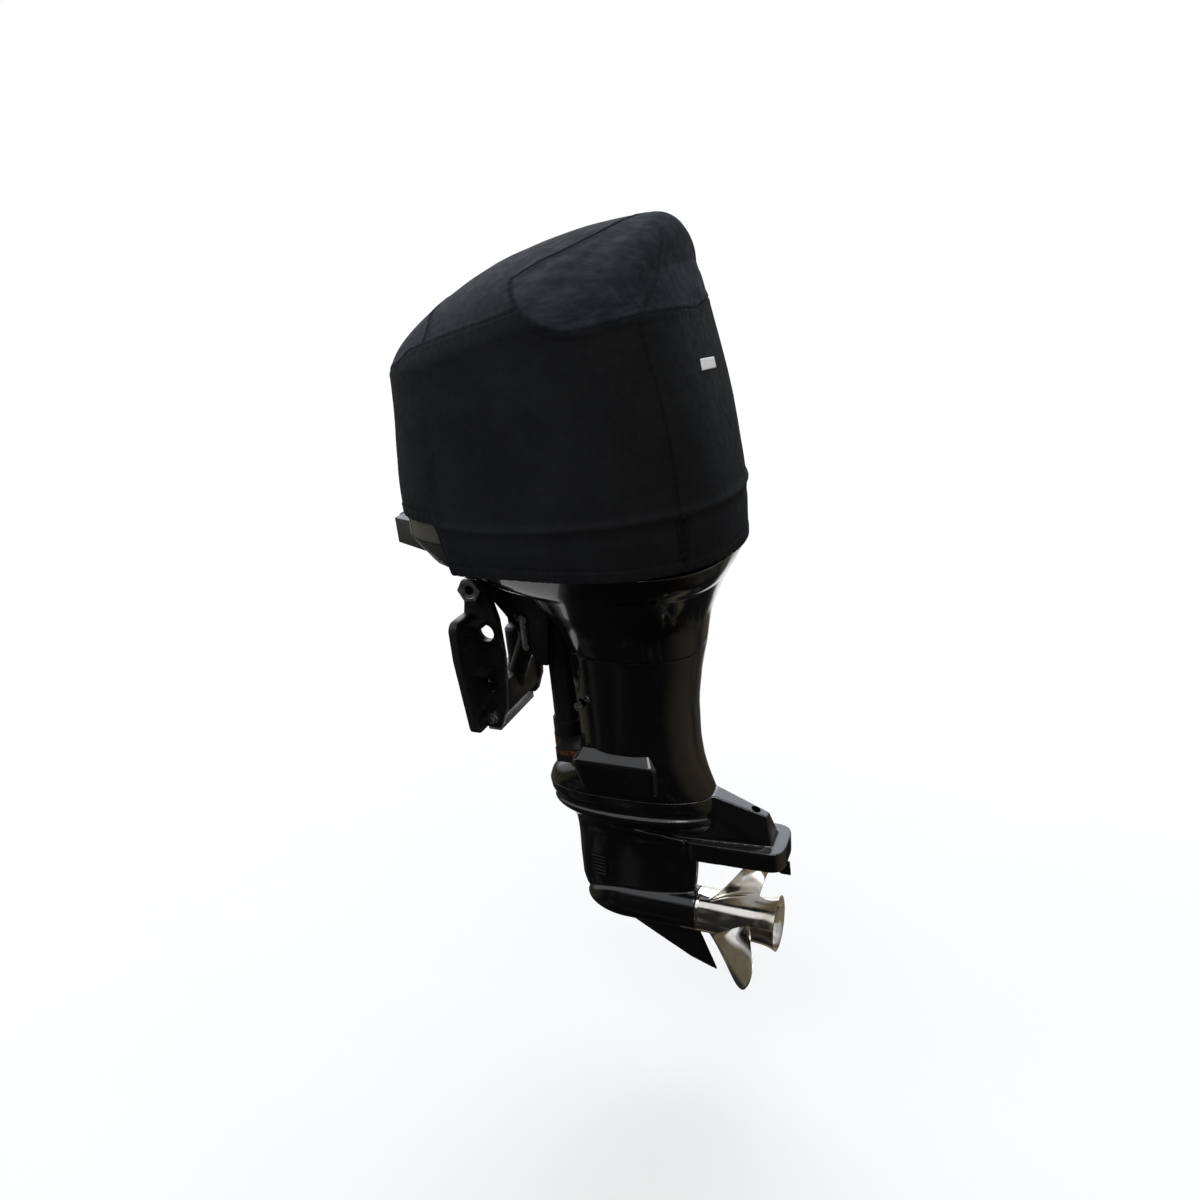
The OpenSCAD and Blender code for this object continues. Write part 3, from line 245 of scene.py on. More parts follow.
def section_rings(sections, levels, n, inset=0.0):
    t = even_angles(n, *sections[len(sections) // 2][1:])
    cols = list(zip(*sections))
    rings = []
    for z in levels:
        front, back, half, square, middle = (float(hermite(z, cols[0], c)) for c in cols[1:])
        x, y = outline(t, front - inset, back + inset, half - inset, square, middle)
        rings.append(np.column_stack([x, y, np.full(n, z)]))
    return rings


def solid(rings):
    n, m = len(rings[0]), len(rings)
    return np.concatenate(rings), ring_faces(m, n) + caps(m, n)


def shell(outer, inner):
    n, m = len(outer[0]), len(outer)
    faces = ring_faces(m, n) + ring_faces(m, n, m * n, True)
    for i in range(n):
        j = (i + 1) % n
        faces.append((i, m * n + i, m * n + j, j))
        a, b = (m - 1) * n + i, (m - 1) * n + j
        faces.append((a, b, m * n + b, m * n + a))
    return np.concatenate(list(outer) + list(inner)), faces


# Materials: every one is built from nodes, with grain, wear and roughness of its own

class Graph:
    """A node tree, with the coordinates that its nodes share."""
    def __init__(self, tree, place):
        self.nodes, self.links = tree.nodes, tree.links
        self.place = self.node("ShaderNodeTexCoord").outputs[place]

    def put(self, socket, value):
        if isinstance(value, bpy.types.NodeSocket):
            self.links.new(value, socket)
        else:
            socket.default_value = value

    def node(self, kind, inputs=None, **settings):
        node = self.nodes.new(kind)
        for key, value in settings.items():
            setattr(node, key, value)
        for key, value in (inputs or {}).items():
            self.put(node.inputs[key], value)
        return node

    def noise(self, scale, detail=4.0, rough=0.55, place=None, distort=0.0):
        return self.node("ShaderNodeTexNoise", {
            "Vector": place or self.place, "Scale": scale, "Detail": detail, "Roughness": rough,
            "Distortion": distort}).outputs["Fac"]

    def stretch(self, scale):
        return self.node("ShaderNodeMapping", {"Vector": self.place, "Scale": scale}).outputs["Vector"]

    def ramp(self, value, low, high, a=0.0, b=1.0, curve="SMOOTHSTEP"):
        inputs = {"Value": value, "From Min": low, "From Max": high, "To Min": a, "To Max": b}
        return self.node("ShaderNodeMapRange", inputs, clamp=True, interpolation_type=curve).outputs["Result"]

    def math(self, op, a, b=0.0):
        return self.node("ShaderNodeMath", {0: a, 1: b}, operation=op).outputs[0]

    def colour(self, fac, a, b):
        a, b = (c if isinstance(c, bpy.types.NodeSocket) else (*c, 1) for c in (a, b))
        return self.node("ShaderNodeMix", {"Factor": fac, "A": a, "B": b}, data_type="RGBA").outputs["Result"]

    def attribute(self, name):
        return self.node("ShaderNodeAttribute", attribute_name=name).outputs["Fac"]

    def axis(self, which):
        return self.node("ShaderNodeSeparateXYZ", {0: self.place}).outputs[which]


class Shader(Graph):
    def __init__(self, name):
        self.mat = bpy.data.materials.new(name)
        self.mat.use_nodes = True
        super().__init__(self.mat.node_tree, "Object")
        self.bsdf = self.nodes["Principled BSDF"]

    def set(self, **values):
        for key, value in values.items():
            self.put(self.bsdf.inputs[key.replace("_", " ")], value)

    def bump(self, *layers):
        below = {}
        for height, distance in layers:
            node = self.node("ShaderNodeBump", {"Distance": distance, "Height": height, **below})
            below = {"Normal": node.outputs["Normal"]}
        self.set(**below)


DUST = (0.05, 0.048, 0.045)


def gloss_paint(name, base, dust=DUST, amount=0.25):
    s = Shader(name)
    film = s.noise(9, 6, 0.65)
    specks = s.noise(240, 2)
    veil = s.math("MULTIPLY", s.ramp(film, 0.5, 0.78, 0, amount), s.ramp(specks, 0.35, 0.7, 0.4, 1))
    streak = s.noise(14, 5, 0.6, s.stretch((1, 1, 0.12)))
    s.set(Base_Color=s.colour(veil, base, dust), Roughness=s.ramp(streak, 0.35, 0.75, 0.10, 0.24),
          IOR=1.5, Coat_Weight=0.6, Coat_Roughness=0.03, Coat_IOR=1.5)
    s.bump((s.noise(150, 2), 0.00006), (s.noise(12, 2), 0.0006))
    return s.mat


def casting(name, base, worn, rough=(0.34, 0.6), grain=0.00035, spread=(0.56, 0.8)):
    s = Shader(name)
    patches = s.noise(22, 7, 0.68)
    fine = s.noise(520, 3)
    s.set(Base_Color=s.colour(s.ramp(patches, *spread), base, worn),
          Roughness=s.ramp(s.noise(40, 5), 0.3, 0.75, *rough), IOR=1.48)
    s.bump((fine, grain), (s.noise(60, 3), 0.0005))
    return s.mat


def rusty_casting(name, base, rust, low, high):
    """Black casting with a ring of rust between two heights."""
    s = Shader(name)
    patches = s.ramp(s.noise(70, 6, 0.7), 0.38, 0.6)
    fade = 0.004
    starts, ends = s.ramp(s.axis(2), low, low + fade), s.ramp(s.axis(2), high - fade, high, 1, 0)
    ring = s.math("MULTIPLY", s.math("MULTIPLY", starts, ends), patches)
    s.set(Base_Color=s.colour(ring, base, rust), Roughness=s.ramp(ring, 0, 1, 0.4, 0.85), IOR=1.48)
    s.bump((s.noise(420, 3), 0.0004))
    return s.mat


def metal(name, base, tint, rough=(0.12, 0.3), grain=0.00008, scale=60):
    s = Shader(name)
    stain = s.noise(18, 6, 0.6)
    brushed = s.noise(scale, 5, 0.6)
    s.set(Base_Color=s.colour(s.ramp(stain, 0.42, 0.75), base, tint), Metallic=1.0,
          Roughness=s.ramp(brushed, 0.3, 0.75, *rough))
    s.bump((brushed, grain), (s.noise(300, 2), 0.00004))
    return s.mat


def moulding(name, base, worn, rough=(0.3, 0.5), grain=0.0002):
    s = Shader(name)
    s.set(Base_Color=s.colour(s.ramp(s.noise(30, 6, 0.65), 0.5, 0.8), base, worn),
          Roughness=s.ramp(s.noise(70, 4), 0.3, 0.7, *rough), IOR=1.47)
    s.bump((s.noise(900, 2), grain))
    return s.mat


def cover_cloth():
    """Woven side panels, a softer top, and a lighter ribbed mesh on the air scoop panels."""
    s = Shader("cover_cloth")
    u, v, _ = s.node("ShaderNodeSeparateXYZ", {0: s.node("ShaderNodeTexCoord").outputs["UV"]}).outputs

    def waves(pitch_u, pitch_v):
        pair = ((u, pitch_u), (v, pitch_v))
        return s.math("MULTIPLY", *(s.math("SINE", s.math("MULTIPLY", w, 2 * math.pi / p)) for w, p in pair))

    weave = waves(0.0016, 0.0016)
    holes = s.ramp(waves(0.0034, 0.0026), 0.25, 0.7)
    top = s.attribute("top_panel")
    scoop = s.attribute("scoop_panel")
    blotch = s.noise(7, 6, 0.62)
    lint = s.noise(420, 2)
    side = s.colour(s.ramp(blotch, 0.3, 0.75), (0.0048, 0.0050, 0.0056), (0.0082, 0.0085, 0.0092))
    side = s.colour(s.ramp(lint, 0.68, 0.78, 0, 0.35), side, (0.028, 0.028, 0.028))
    upper = s.colour(s.ramp(blotch, 0.3, 0.75), (0.0076, 0.0087, 0.0102), (0.0134, 0.0150, 0.0172))
    rubbed = s.noise(26, 6, 0.7, s.stretch((0.5, 1.6, 1.6)), 0.6)
    mesh = s.colour(s.ramp(rubbed, 0.36, 0.72), (0.0125, 0.0142, 0.0178), (0.0300, 0.0336, 0.0405))
    mesh = s.colour(s.math("MULTIPLY", holes, 0.6), mesh, (0.005, 0.0055, 0.006))
    base = s.colour(top, side, upper)
    base = s.colour(scoop, base, mesh)
    worn = s.attribute("seam_wear")
    base = s.colour(s.math("MULTIPLY", worn, 0.55), base, (0.0035, 0.0036, 0.004))
    s.set(Base_Color=base, Roughness=s.ramp(s.noise(50, 4), 0.3, 0.7, 0.72, 0.92), IOR=1.4,
          Specular_IOR_Level=0.16, Sheen_Weight=0.03, Sheen_Roughness=0.55,
          Sheen_Tint=(0.75, 0.85, 1.0, 1))
    deep = s.math("MULTIPLY", holes, s.math("MULTIPLY", scoop, -1.0))
    s.bump((s.noise(45, 5, 0.6), 0.0012), (s.math("MULTIPLY", weave, 0.5), 0.00022), (deep, 0.0004))
    return s.mat


def webbing(name, base, light):
    s = Shader(name)
    pitch = 0.0022
    wave = s.node("ShaderNodeTexWave", {"Vector": s.place, "Scale": 1 / pitch / 20, "Distortion": 1.5},
                  wave_type="BANDS", bands_direction="DIAGONAL")
    s.set(Base_Color=s.colour(s.ramp(s.noise(300, 3), 0.35, 0.75), base, light),
          Roughness=s.ramp(s.noise(120, 3), 0.3, 0.7, 0.7, 0.9), Specular_IOR_Level=0.15)
    s.bump((wave.outputs["Fac"], 0.0003))
    return s.mat


# Heights of the rust on the lower yoke
YOKE_RUST = -0.305, -0.288
M = {"cover_fabric": cover_cloth()}
for maker, name, *look in (
        (gloss_paint, "gloss_black", (0.0044, 0.0045, 0.0050)),
        (gloss_paint, "gloss_black_moulding", (0.0042, 0.0042, 0.0046), DUST, 0.18),
        (casting, "black_casting", (0.016, 0.016, 0.017), (0.060, 0.058, 0.056), (0.24, 0.5)),
        (rusty_casting, "yoke_rust", (0.016, 0.016, 0.017), (0.17, 0.055, 0.018), *YOKE_RUST),
        (moulding, "satin_black_moulding", (0.030, 0.032, 0.036), (0.052, 0.054, 0.058), (0.22, 0.4)),
        (casting, "trim_motor_black", (0.008, 0.008, 0.009), (0.02, 0.02, 0.02), (0.3, 0.5)),
        (moulding, "reservoir_plastic", (0.02, 0.02, 0.022), (0.05, 0.05, 0.05)),
        # the cowling's nose: a grey moulding whose base colour is also raised as painted reflection of the
        # sky
        (gloss_paint, "cowl_grey", (0.080, 0.082, 0.086), (0.14, 0.14, 0.14)),
        (casting, "zinc", (0.32, 0.33, 0.34), (0.52, 0.52, 0.5), (0.5, 0.75), 0.0006, (0.4, 0.7)),
        (metal, "bright_steel", (0.72, 0.73, 0.74), (0.55, 0.54, 0.52)),
        (metal, "tube_steel", (0.50, 0.51, 0.53), (0.36, 0.35, 0.34), (0.2, 0.4)),
        (metal, "ram_chrome", (0.78, 0.79, 0.80), (0.62, 0.62, 0.62), (0.05, 0.14)),
        (metal, "gear_steel", (0.46, 0.46, 0.47), (0.34, 0.33, 0.32), (0.22, 0.4)),
        (moulding, "bush_plastic", (0.62, 0.60, 0.55), (0.48, 0.46, 0.42)),
        (moulding, "black_rubber", (0.012, 0.012, 0.012), (0.03, 0.03, 0.03), (0.6, 0.8), 0.0004),
        (casting, "cast_aluminium", (0.26, 0.27, 0.28), (0.38, 0.38, 0.38), (0.4, 0.6), 0.0005),
        (moulding, "starter_black", (0.015, 0.015, 0.016), (0.04, 0.04, 0.04)),
        (metal, "exhaust_steel", (0.42, 0.38, 0.34), (0.26, 0.2, 0.16), (0.35, 0.55)),
        (metal, "brass_tube", (0.72, 0.52, 0.22), (0.5, 0.34, 0.14), (0.2, 0.4)),
        (moulding, "screen_plastic", (0.005, 0.005, 0.006), (0.012, 0.012, 0.012)),
        (casting, "flywheel_iron", (0.12, 0.12, 0.125), (0.2, 0.19, 0.18), (0.4, 0.6)),
        (metal, "polished_stainless", (0.84, 0.81, 0.76), (0.64, 0.57, 0.47), (0.09, 0.24), 0.00002, 24),
        (casting, "tab_black", (0.006, 0.006, 0.0065), (0.03, 0.03, 0.03), (0.35, 0.6)),
        (webbing, "thread", (0.006, 0.006, 0.007), (0.02, 0.02, 0.022)),
        (webbing, "tag_cloth", (0.97, 0.97, 0.96), (0.88, 0.88, 0.87)),
        (webbing, "strap_webbing", (0.003, 0.003, 0.0034), (0.008, 0.008, 0.009))):
    M[name] = maker(name, *look)


def dress(obj, name):
    obj.data.materials.clear()
    obj.data.materials.append(M[name])


# CAD nodes that stay: rounded edges, smooth faces, the material of their slot or one of their own
EDGE_ROUND, EDGE_ANGLE = 0.0014, 32
OWN_LOOK = {"trim_tab": "tab_black", "lower_yoke": "yoke_rust"}
slots = {s["node"]: s["material_slot"] for s in frame["record"]["subparts"]}
for name, obj in NODES.items():
    dress(obj, OWN_LOOK.get(name, slots[name]))
    weld = obj.modifiers.new("weld", "WELD")
    weld.merge_threshold = 0.00001
    round_edges = obj.modifiers.new("round", "BEVEL")
    round_edges.width = EDGE_ROUND
    round_edges.segments = 2
    round_edges.limit_method = "ANGLE"
    round_edges.angle_limit = math.radians(EDGE_ANGLE)
    round_edges.use_clamp_overlap = True
    shade_by_angle(obj, EDGE_ANGLE)


# The cover's form, in the drive shaft's frame

HEM_Z, TOP_Z, HALF_W, FRONT, BACK = 775.0, 1447.0, 300.0, 368.0, -376.0
# How far the hem tucks in, the sides lean in, the back leans forward and the front leans back
TUCK, LEAN, BACK_LEAN, FRONT_LEAN = 13, 26, 100, 8
# Where the outline is widest, as a share of its length from the back, and where the crown is highest
MIDDLE, PEAK_X = 0.46, -240
# How far the shoulder lies under the crown, and how much less at the back and front
SHOULDER_DROP, BACK_RISE, FRONT_RISE = 160, 92, 40
# The hem steps up in front, over the lower cowling's nose
HEM_STEP, HEM_STEP_X = 108, 176


def ridge(x):
    d = x - PEAK_X
    return TOP_Z - np.where(d > 0, 0.00043 * d * d + 0.03 * d, 0.003 * d * d)


def shoulder(x):
    back, front = BACK_RISE * smooth((-150 - x) / 190), FRONT_RISE * smooth((x - 140) / 220)
    return ridge(x) - (SHOULDER_DROP - back - front)


def hem_line(x):
    return HEM_Z + HEM_STEP * smooth((x - HEM_STEP_X) / 36)


def side_ring(t, s):
    """The cover's outline from the hem (s = 0) to the shoulder (s = 1)."""
    half = HALF_W - TUCK * max(0, 1 - s / 0.2) ** 1.5 - LEAN * smooth((s - 0.2) / 0.8)
    back = BACK + BACK_LEAN * (max(0, s - 0.18) / 0.82) ** 1.25
    square, square_back = mix(3.3, 2.9, s), mix(2.2, 2.9, smooth(s / 0.7))
    x, y = outline(t, FRONT - FRONT_LEAN * s, back, half, square, MIDDLE, square_back)
    return np.column_stack([x, y, mix(hem_line(x), shoulder(x), s)])


def top_ring(t, s):
    """The outline from the shoulder (s = 0) to the line along the crown (s = 1)."""
    along, aside, aft = (1 - s ** 3) ** (1 / 3), (1 - s ** 1.6) ** (1 / 1.6), (1 - s ** 4) ** (1 / 4)
    front, back = mix(0, FRONT - FRONT_LEAN, along), mix(-200, BACK + BACK_LEAN, aft)
    x, y = outline(t, front, back, (HALF_W - LEAN) * aside, mix(2.9, 2.5, s), MIDDLE)
    return np.column_stack([x, y, mix(shoulder(x), ridge(x), s)])


def even_levels(ring, count):
    """Shares from 0 to 1 at which the rings lie evenly apart on the cloth."""
    dense = np.linspace(0, 1, 900)
    t = np.array([math.pi * 0.5, math.pi * 0.2, math.pi * 0.8])
    pts = np.array([ring(t, s) for s in dense])
    run = run_length(pts)
    return np.interp(np.linspace(0, run[-1], count), run, dense)


COVER_N, SIDE_LEVELS, TOP_LEVELS = 600, 150, 110
ANGLES = even_angles(COVER_N, FRONT, BACK + 20, HALF_W, 3.0, MIDDLE)
rings = [side_ring(ANGLES, s) for s in even_levels(side_ring, SIDE_LEVELS)]
rings += [top_ring(ANGLES, s) for s in even_levels(top_ring, TOP_LEVELS)[1:]]
grid = np.array(rings)


def grid_normals(g):
    du = np.roll(g, -1, 1) - np.roll(g, 1, 1)
    dv = np.gradient(g, axis=0)
    n = np.cross(du, dv)
    length = np.linalg.norm(n, axis=2, keepdims=True)
    return np.where(length > 1e-6, n / np.maximum(length, 1e-6), np.array([0, 0, 1.0]))


normals = grid_normals(grid)
normals[-1] = (0, 0, 1)
quads = ring_faces(len(grid), COVER_N)
flat_pts = grid.reshape(-1, 3)
tree = BVHTree.FromPolygons([tuple(p) for p in flat_pts], quads)

# Seams and the fold over the cowling's lip, on the port side as in the photo
SEAMS = {
    "front": [[347, 0, 1150], [344, 60, 1153], [333, 120, 1165], [305, 178, 1187], [261, 219, 1210],
              [241, 220, 1224], [180, 235, 1241], [83, 250, 1266], [15, 255, 1283], [-32, 253, 1296]],
    "dart": [[189, 232, 1239], [190, 203, 1262], [215, 133, 1289], [226, 70, 1300], [230, 0, 1304]],
    "scoop": [[4, 188, 1346], [-13, 224, 1322], [-39, 254, 1295], [-73, 268, 1273], [-113, 266, 1258],
              [-153, 256, 1257], [-185, 242, 1261], [-221, 221, 1267], [-253, 189, 1272], [-283, 132, 1271],
              [-297, 39, 1265], [-298, 0, 1261]],
    "diagonal": [[4, 188, 1346], [-38, 165, 1369], [-91, 143, 1390], [-132, 111, 1409], [-168, 65, 1429],
                 [-190, 28, 1440], [-200, 0, 1444]],
    "divider": [[-253, 189, 1272], [-260, 167, 1300], [-265, 133, 1333], [-265, 106, 1373], [-256, 70, 1411]],
    "rear": [[-249, 197, 1264], [-254, 202, 1231], [-265, 204, 1190], [-281, 203, 1120], [-295, 205, 1036],
             [-303, 204, 961], [-307, 203, 897], [-308, 195, 849], [-309, 190, 780]],
}
CREASE = [[281, 246, 888], [204, 279, 886], [144, 291, 882], [66, 298, 881], [-7, 299, 883],
          [-77, 298, 887], [-142, 290, 892], [-202, 273, 896], [-257, 245, 899], [-308, 201, 901],
          [-351, 130, 900], [-374, 0, 896]]


def on_side(points, side):
    return [[x, side * y, z] for x, y, z in points]


def on_cover(p):
    return np.array(tree.find_nearest(Vector(p))[0])


def fine_line(points, step=3.0):
    """A smooth run through the points, laid on the cover, with its length so far."""
    p = np.array(points, float)
    run = run_length(p)
    at = np.arange(0, run[-1], step)
    i = np.clip(np.searchsorted(run, at, side="right") - 1, 0, len(run) - 2)
    line = np.column_stack([cubic(at, i, run, v, np.gradient(v, run)) for v in p.T])
    return np.array([on_cover(q) for q in line]), at


LINES = [(name, *fine_line(on_side(points, side))) for name, points in SEAMS.items() for side in SIDES]
FOLD = [("crease", *fine_line(on_side(CREASE, side))) for side in SIDES]


def near(lines):
    """Distance from every point of the cover to the lines, and how far along they are there."""
    pts = np.concatenate([line[1] for line in lines])
    arc = np.concatenate([line[2] for line in lines])
    kd = KDTree(len(pts))
    for i, p in enumerate(pts):
        kd.insert(Vector(p), i)
    kd.balance()
    d, a = np.empty(len(flat_pts)), np.empty(len(flat_pts))
    for i, p in enumerate(flat_pts):
        _, k, dist = kd.find(Vector(p))
        d[i], a[i] = dist, arc[k]
    return d.reshape(grid.shape[:2]), a.reshape(grid.shape[:2])


seam_d, seam_a = near([line for line in LINES if line[0] != "divider"])
soft_d, _ = near([line for line in LINES if line[0] == "divider"])
crease_d, _ = near(FOLD)

# Panels: the top lies above the front and scoop seams, the scoops outside the diagonal
X, Y, Z = grid[..., 0], grid[..., 1], grid[..., 2]
AY = np.abs(Y)
theta = np.degrees(np.arctan2(AY, X))
seam_pts = np.array(SEAMS["front"] + SEAMS["scoop"][2:])
seam_theta = np.degrees(np.arctan2(seam_pts[:, 1], seam_pts[:, 0]))
above = Z - np.interp(theta, seam_theta, seam_pts[:, 2])
diag = np.array(SEAMS["diagonal"])[::-1]
diag_y = np.interp(X, diag[:, 0], diag[:, 1], left=-1, right=999)
edge = np.array(SEAMS["scoop"][:3])
edge_x = np.interp(AY, edge[:, 1], edge[:, 0])
top_mask = smooth((above + 2) / 4)
scoop_mask = top_mask * smooth((AY - diag_y + 2) / 4) * smooth((edge_x - X + 2) / 4)


def cloth_noise(scale, seed):
    values = [noise.noise(Vector((p[0] / scale + seed, p[1] / scale, p[2] / scale))) for p in flat_pts]
    return np.array(values).reshape(grid.shape[:2])


HEM_BAND, LIP_Z = 24, 892
hem_h = Z - hem_line(X)
push = 1.6 * cloth_noise(130, 3.1) + 0.7 * cloth_noise(48, 7.7)
push += np.where(scoop_mask > 0.5, 1.6, 0.0) * scoop_mask * cloth_noise(70, 12.0)
# long soft pulls across the scoop panels, from the front point up and aft
pull = np.sin((0.62 * X + 1.15 * Z + 0.5 * AY) / 11.0 + 2.2 * cloth_noise(110, 5.0))
push += 0.75 * scoop_mask * pull * smooth((seam_d - 4) / 30)
# seams: a sunk stitch line between two folded edges, puckered along its length
push += bell(seam_d, -1.9, 2.6) + bell(seam_d - 7.5, 1.1, 4.0)
push += 0.55 * np.sin(seam_a * 2 * math.pi / 19.0 + 1.3 * cloth_noise(40, 1.0)) * np.exp(-seam_d / 12)
push += bell(soft_d, -0.9, 4.0) + bell(soft_d - 9, 0.5, 5.0)
# the fold where the cloth turns under the cowling's lip
push += bell(crease_d, 4.6, 9.0) * smooth((hem_h - 4) / 20)
push += bell(crease_d - 26, -2.2, 14.0) * (Z < LIP_Z) * smooth((hem_h - 14) / 20)
# the hem: a doubled band gathered by its draw cord
gather = np.sin(np.arange(COVER_N)[None, :] * 2 * math.pi / 6.1 + 2.0 * cloth_noise(60, 9.0))
push += 1.5 * smooth((HEM_BAND - hem_h) / 4) + 0.8 * gather * np.exp(-hem_h / 16)
push += bell(hem_h - HEM_BAND, -1.4, 2.4)
cloth = grid + normals * push[..., None]

# the hem's edge turns under
HEM_TURN = ((1.6, -1.2), (3.4, 0.6), (4.2, 12.0))
hem_in = [cloth[0] - normals[0] * d + np.array([0, 0, z]) for d, z in HEM_TURN]
all_rings = np.concatenate([np.array(hem_in[::-1]), cloth])
verts, faces = row(all_rings.reshape(-1, 3)), ring_faces(len(all_rings), COVER_N)
cover = make("fitted_cover", verts, faces, "cover", ("fabric_cover",))
mesh = cover.data


def point_attribute(obj, name, values):
    layer = obj.data.attributes.new(name, "FLOAT", "POINT")
    layer.data.foreach_set("value", np.ascontiguousarray(values, np.float32).ravel())


pad = np.zeros((len(hem_in), COVER_N))
point_attribute(cover, "top_panel", np.concatenate([pad, top_mask]))
point_attribute(cover, "scoop_panel", np.concatenate([pad, scoop_mask]))
wear = np.maximum(bell(seam_d, 1, 3.0), bell(soft_d, 0.6, 3.5))
point_attribute(cover, "seam_wear", np.concatenate([pad, wear]))

# cloth coordinates in metres: round the cover, and up it
waist = grid[60]
step_u = np.linalg.norm(np.diff(waist, axis=0, append=waist[:1]), axis=1) / 1000
u_run = np.concatenate([[0], np.cumsum(step_u)])
v_run = run_length(all_rings) / 1000
layer = mesh.uv_layers.new(name="cloth")
loop_v = np.empty(len(mesh.loops), np.int32)
mesh.loops.foreach_get("vertex_index", loop_v)
uv = np.column_stack([u_run[loop_v % COVER_N], v_run[loop_v // COVER_N]])
first = np.repeat(loop_v.reshape(-1, 4)[:, 0] % COVER_N, 4)
uv[(first == COVER_N - 1) & (loop_v % COVER_N == 0), 0] = u_run[-1]
layer.data.foreach_set("uv", uv.astype(np.float32).ravel())
dress(cover, "cover_fabric")


# Stitches: two rows beside each seam, one beside the divider and one along the hem
STITCH_PITCH, THREAD_R, SEAM_ROWS, DIVIDER_ROW, HEM_ROW = 4.6, 0.42, (5.0, -5.0), (4.0,), 19.0
# One stitch: distances along it and its thread's height there
STITCH = ((0, 0.1), (1.6, 0.75), (3.3, 0.1))


def stitch_rows(lines):
    parts = []
    for pts, nrm in lines:
        run = run_length(pts)
        for start in np.arange(2.0, run[-1] - 5, STITCH_PITCH):
            ends = []
            for along, lift in STITCH:
                q = start + along
                p, n = (np.array([np.interp(q, run, w[:, k]) for k in range(3)]) for w in (pts, nrm))
                ends.append((p + n * lift, n))
            d = ends[2][0] - ends[0][0]
            d /= np.linalg.norm(d) + 1e-9
            v = []
            for p, n in ends:
                b = np.cross(d, n)
                for a in range(6):
                    v.append(p + THREAD_R * (b * math.cos(a * math.pi / 3) + n * math.sin(a * math.pi / 3)))
            parts.append((v, ring_faces(3, 6) + caps(3, 6)))
    return joined(parts)


COVER_MIDDLE = np.array([0, 0, 1000])
cloth_tree = BVHTree.FromPolygons([tuple(p) for p in cloth.reshape(-1, 3)], quads)


def laid(points):
    """The nearest points of the cloth, and its outward direction there."""
    out, nrm = [], []
    for p in points:
        q, n = (np.array(w) for w in cloth_tree.find_nearest(Vector(p))[:2])
        out.append(q)
        nrm.append(n if np.dot(n, q - COVER_MIDDLE) > 0 else -n)
    return np.array(out), np.array(nrm)


rows = []
for name, pts, _ in LINES:
    base, nrm = laid(pts)
    run = np.gradient(base, axis=0)
    across = np.cross(run, nrm)
    across /= np.linalg.norm(across, axis=1, keepdims=True) + 1e-9
    for off in (DIVIDER_ROW if name == "divider" else SEAM_ROWS):
        rows.append(laid(base + across * off))
hem_row = np.array([cloth[int(np.argmax(hem_h[:, i] > HEM_ROW)), i] for i in range(COVER_N)])
rows.append((hem_row, normals[6]))
verts, faces = stitch_rows(rows)
stitches = make("cover_stitches", row(verts), faces, "cover")
dress(stitches, "thread")


def patch(name, corners, nu, nv, lift, thick, material):
    """A small sewn patch that follows the cloth."""
    a, b, c, d = (np.array(p, float) for p in corners)
    top, low = [], []
    for j in range(nv + 1):
        for i in range(nu + 1):
            u, v = i / nu, j / nv
            p, n = laid([mix(mix(a, b, u), mix(d, c, u), v)])
            to_edge = min(u, 1 - u) * np.linalg.norm(b - a), min(v, 1 - v) * np.linalg.norm(d - a)
            h = lift + thick * smooth(min(to_edge) / 1.2)
            top.append(p[0] + n[0] * h)
            low.append(p[0] + n[0] * (lift - 0.3))
    n1, count, faces = nu + 1, len(top), []
    for j in range(nv):
        for i in range(nu):
            k = j * n1 + i
            faces.append((k, k + 1, k + n1 + 1, k + n1))
            faces.append((count + k, count + k + n1, count + k + n1 + 1, count + k + 1))
    rim = list(range(n1)) + [j * n1 + nu for j in range(1, nv + 1)]
    rim += [nv * n1 + i for i in range(nu - 1, -1, -1)] + [j * n1 for j in range(nv - 1, 0, -1)]
    for p, q in zip(rim, rim[1:] + rim[:1]):
        faces.append((q, p, count + p, count + q))
    obj = merge(make(name, row(top + low), faces, "cover"), 1e-7)
    dress(obj, material)
    return obj


TAG = [[-319, 61, 1172], [-322, -23, 1164], [-327, -20, 1142], [-324, 66, 1150]]
STRAP = [[-300, 209, 897], [-313, 191, 897], [-316, 182, 806], [-303, 199, 806]]
tag = patch("blank_tag", TAG, 48, 16, 0.8, 0.9, "tag_cloth")
strap, strap_far = (patch(name, on_side(STRAP, side), 16, 60, 1.2, 1.6, "strap_webbing")
                    for name, side in (("hem_strap", 1), ("hem_strap_far", -1)))


# Leg and apron in gloss paint

def leg_section(z, front, back, half_w, square=2.6, middle=0.55):
    return (z, front, back, half_w, square, middle)


JOINT, SEAM, LEG_W = 142.0, 530.0, 112.0
LEG = [leg_section(JOINT, 146, -284, 92), leg_section(JOINT + 30, 132, -272, 100),
       leg_section(JOINT + 62, 92, -262, 104), leg_section(JOINT + 88, 46, -256, LEG_W - 6),
       leg_section(JOINT + 150, 42, -251, LEG_W - 4), leg_section(JOINT + 210, 42, -251, LEG_W),
       leg_section(SEAM - 90, 43, -260, LEG_W + 8), leg_section(SEAM, 45, -278, LEG_W + 18)]
APRON = [leg_section(SEAM, 45, -278, LEG_W + 18), leg_section(600, 70, -290, LEG_W + 38),
         leg_section(650, 100, -308, LEG_W + 68), leg_section(700, 130, -332, LEG_W + 106),
         leg_section(717, 176, -342, LEG_W + 120, 3.0), leg_section(HEM_Z - 34, 214, -354, HALF_W - 52, 3.2),
         leg_section(HEM_Z - 2, 246, -366, HALF_W - 34, 3.2)]
RINGS = 200


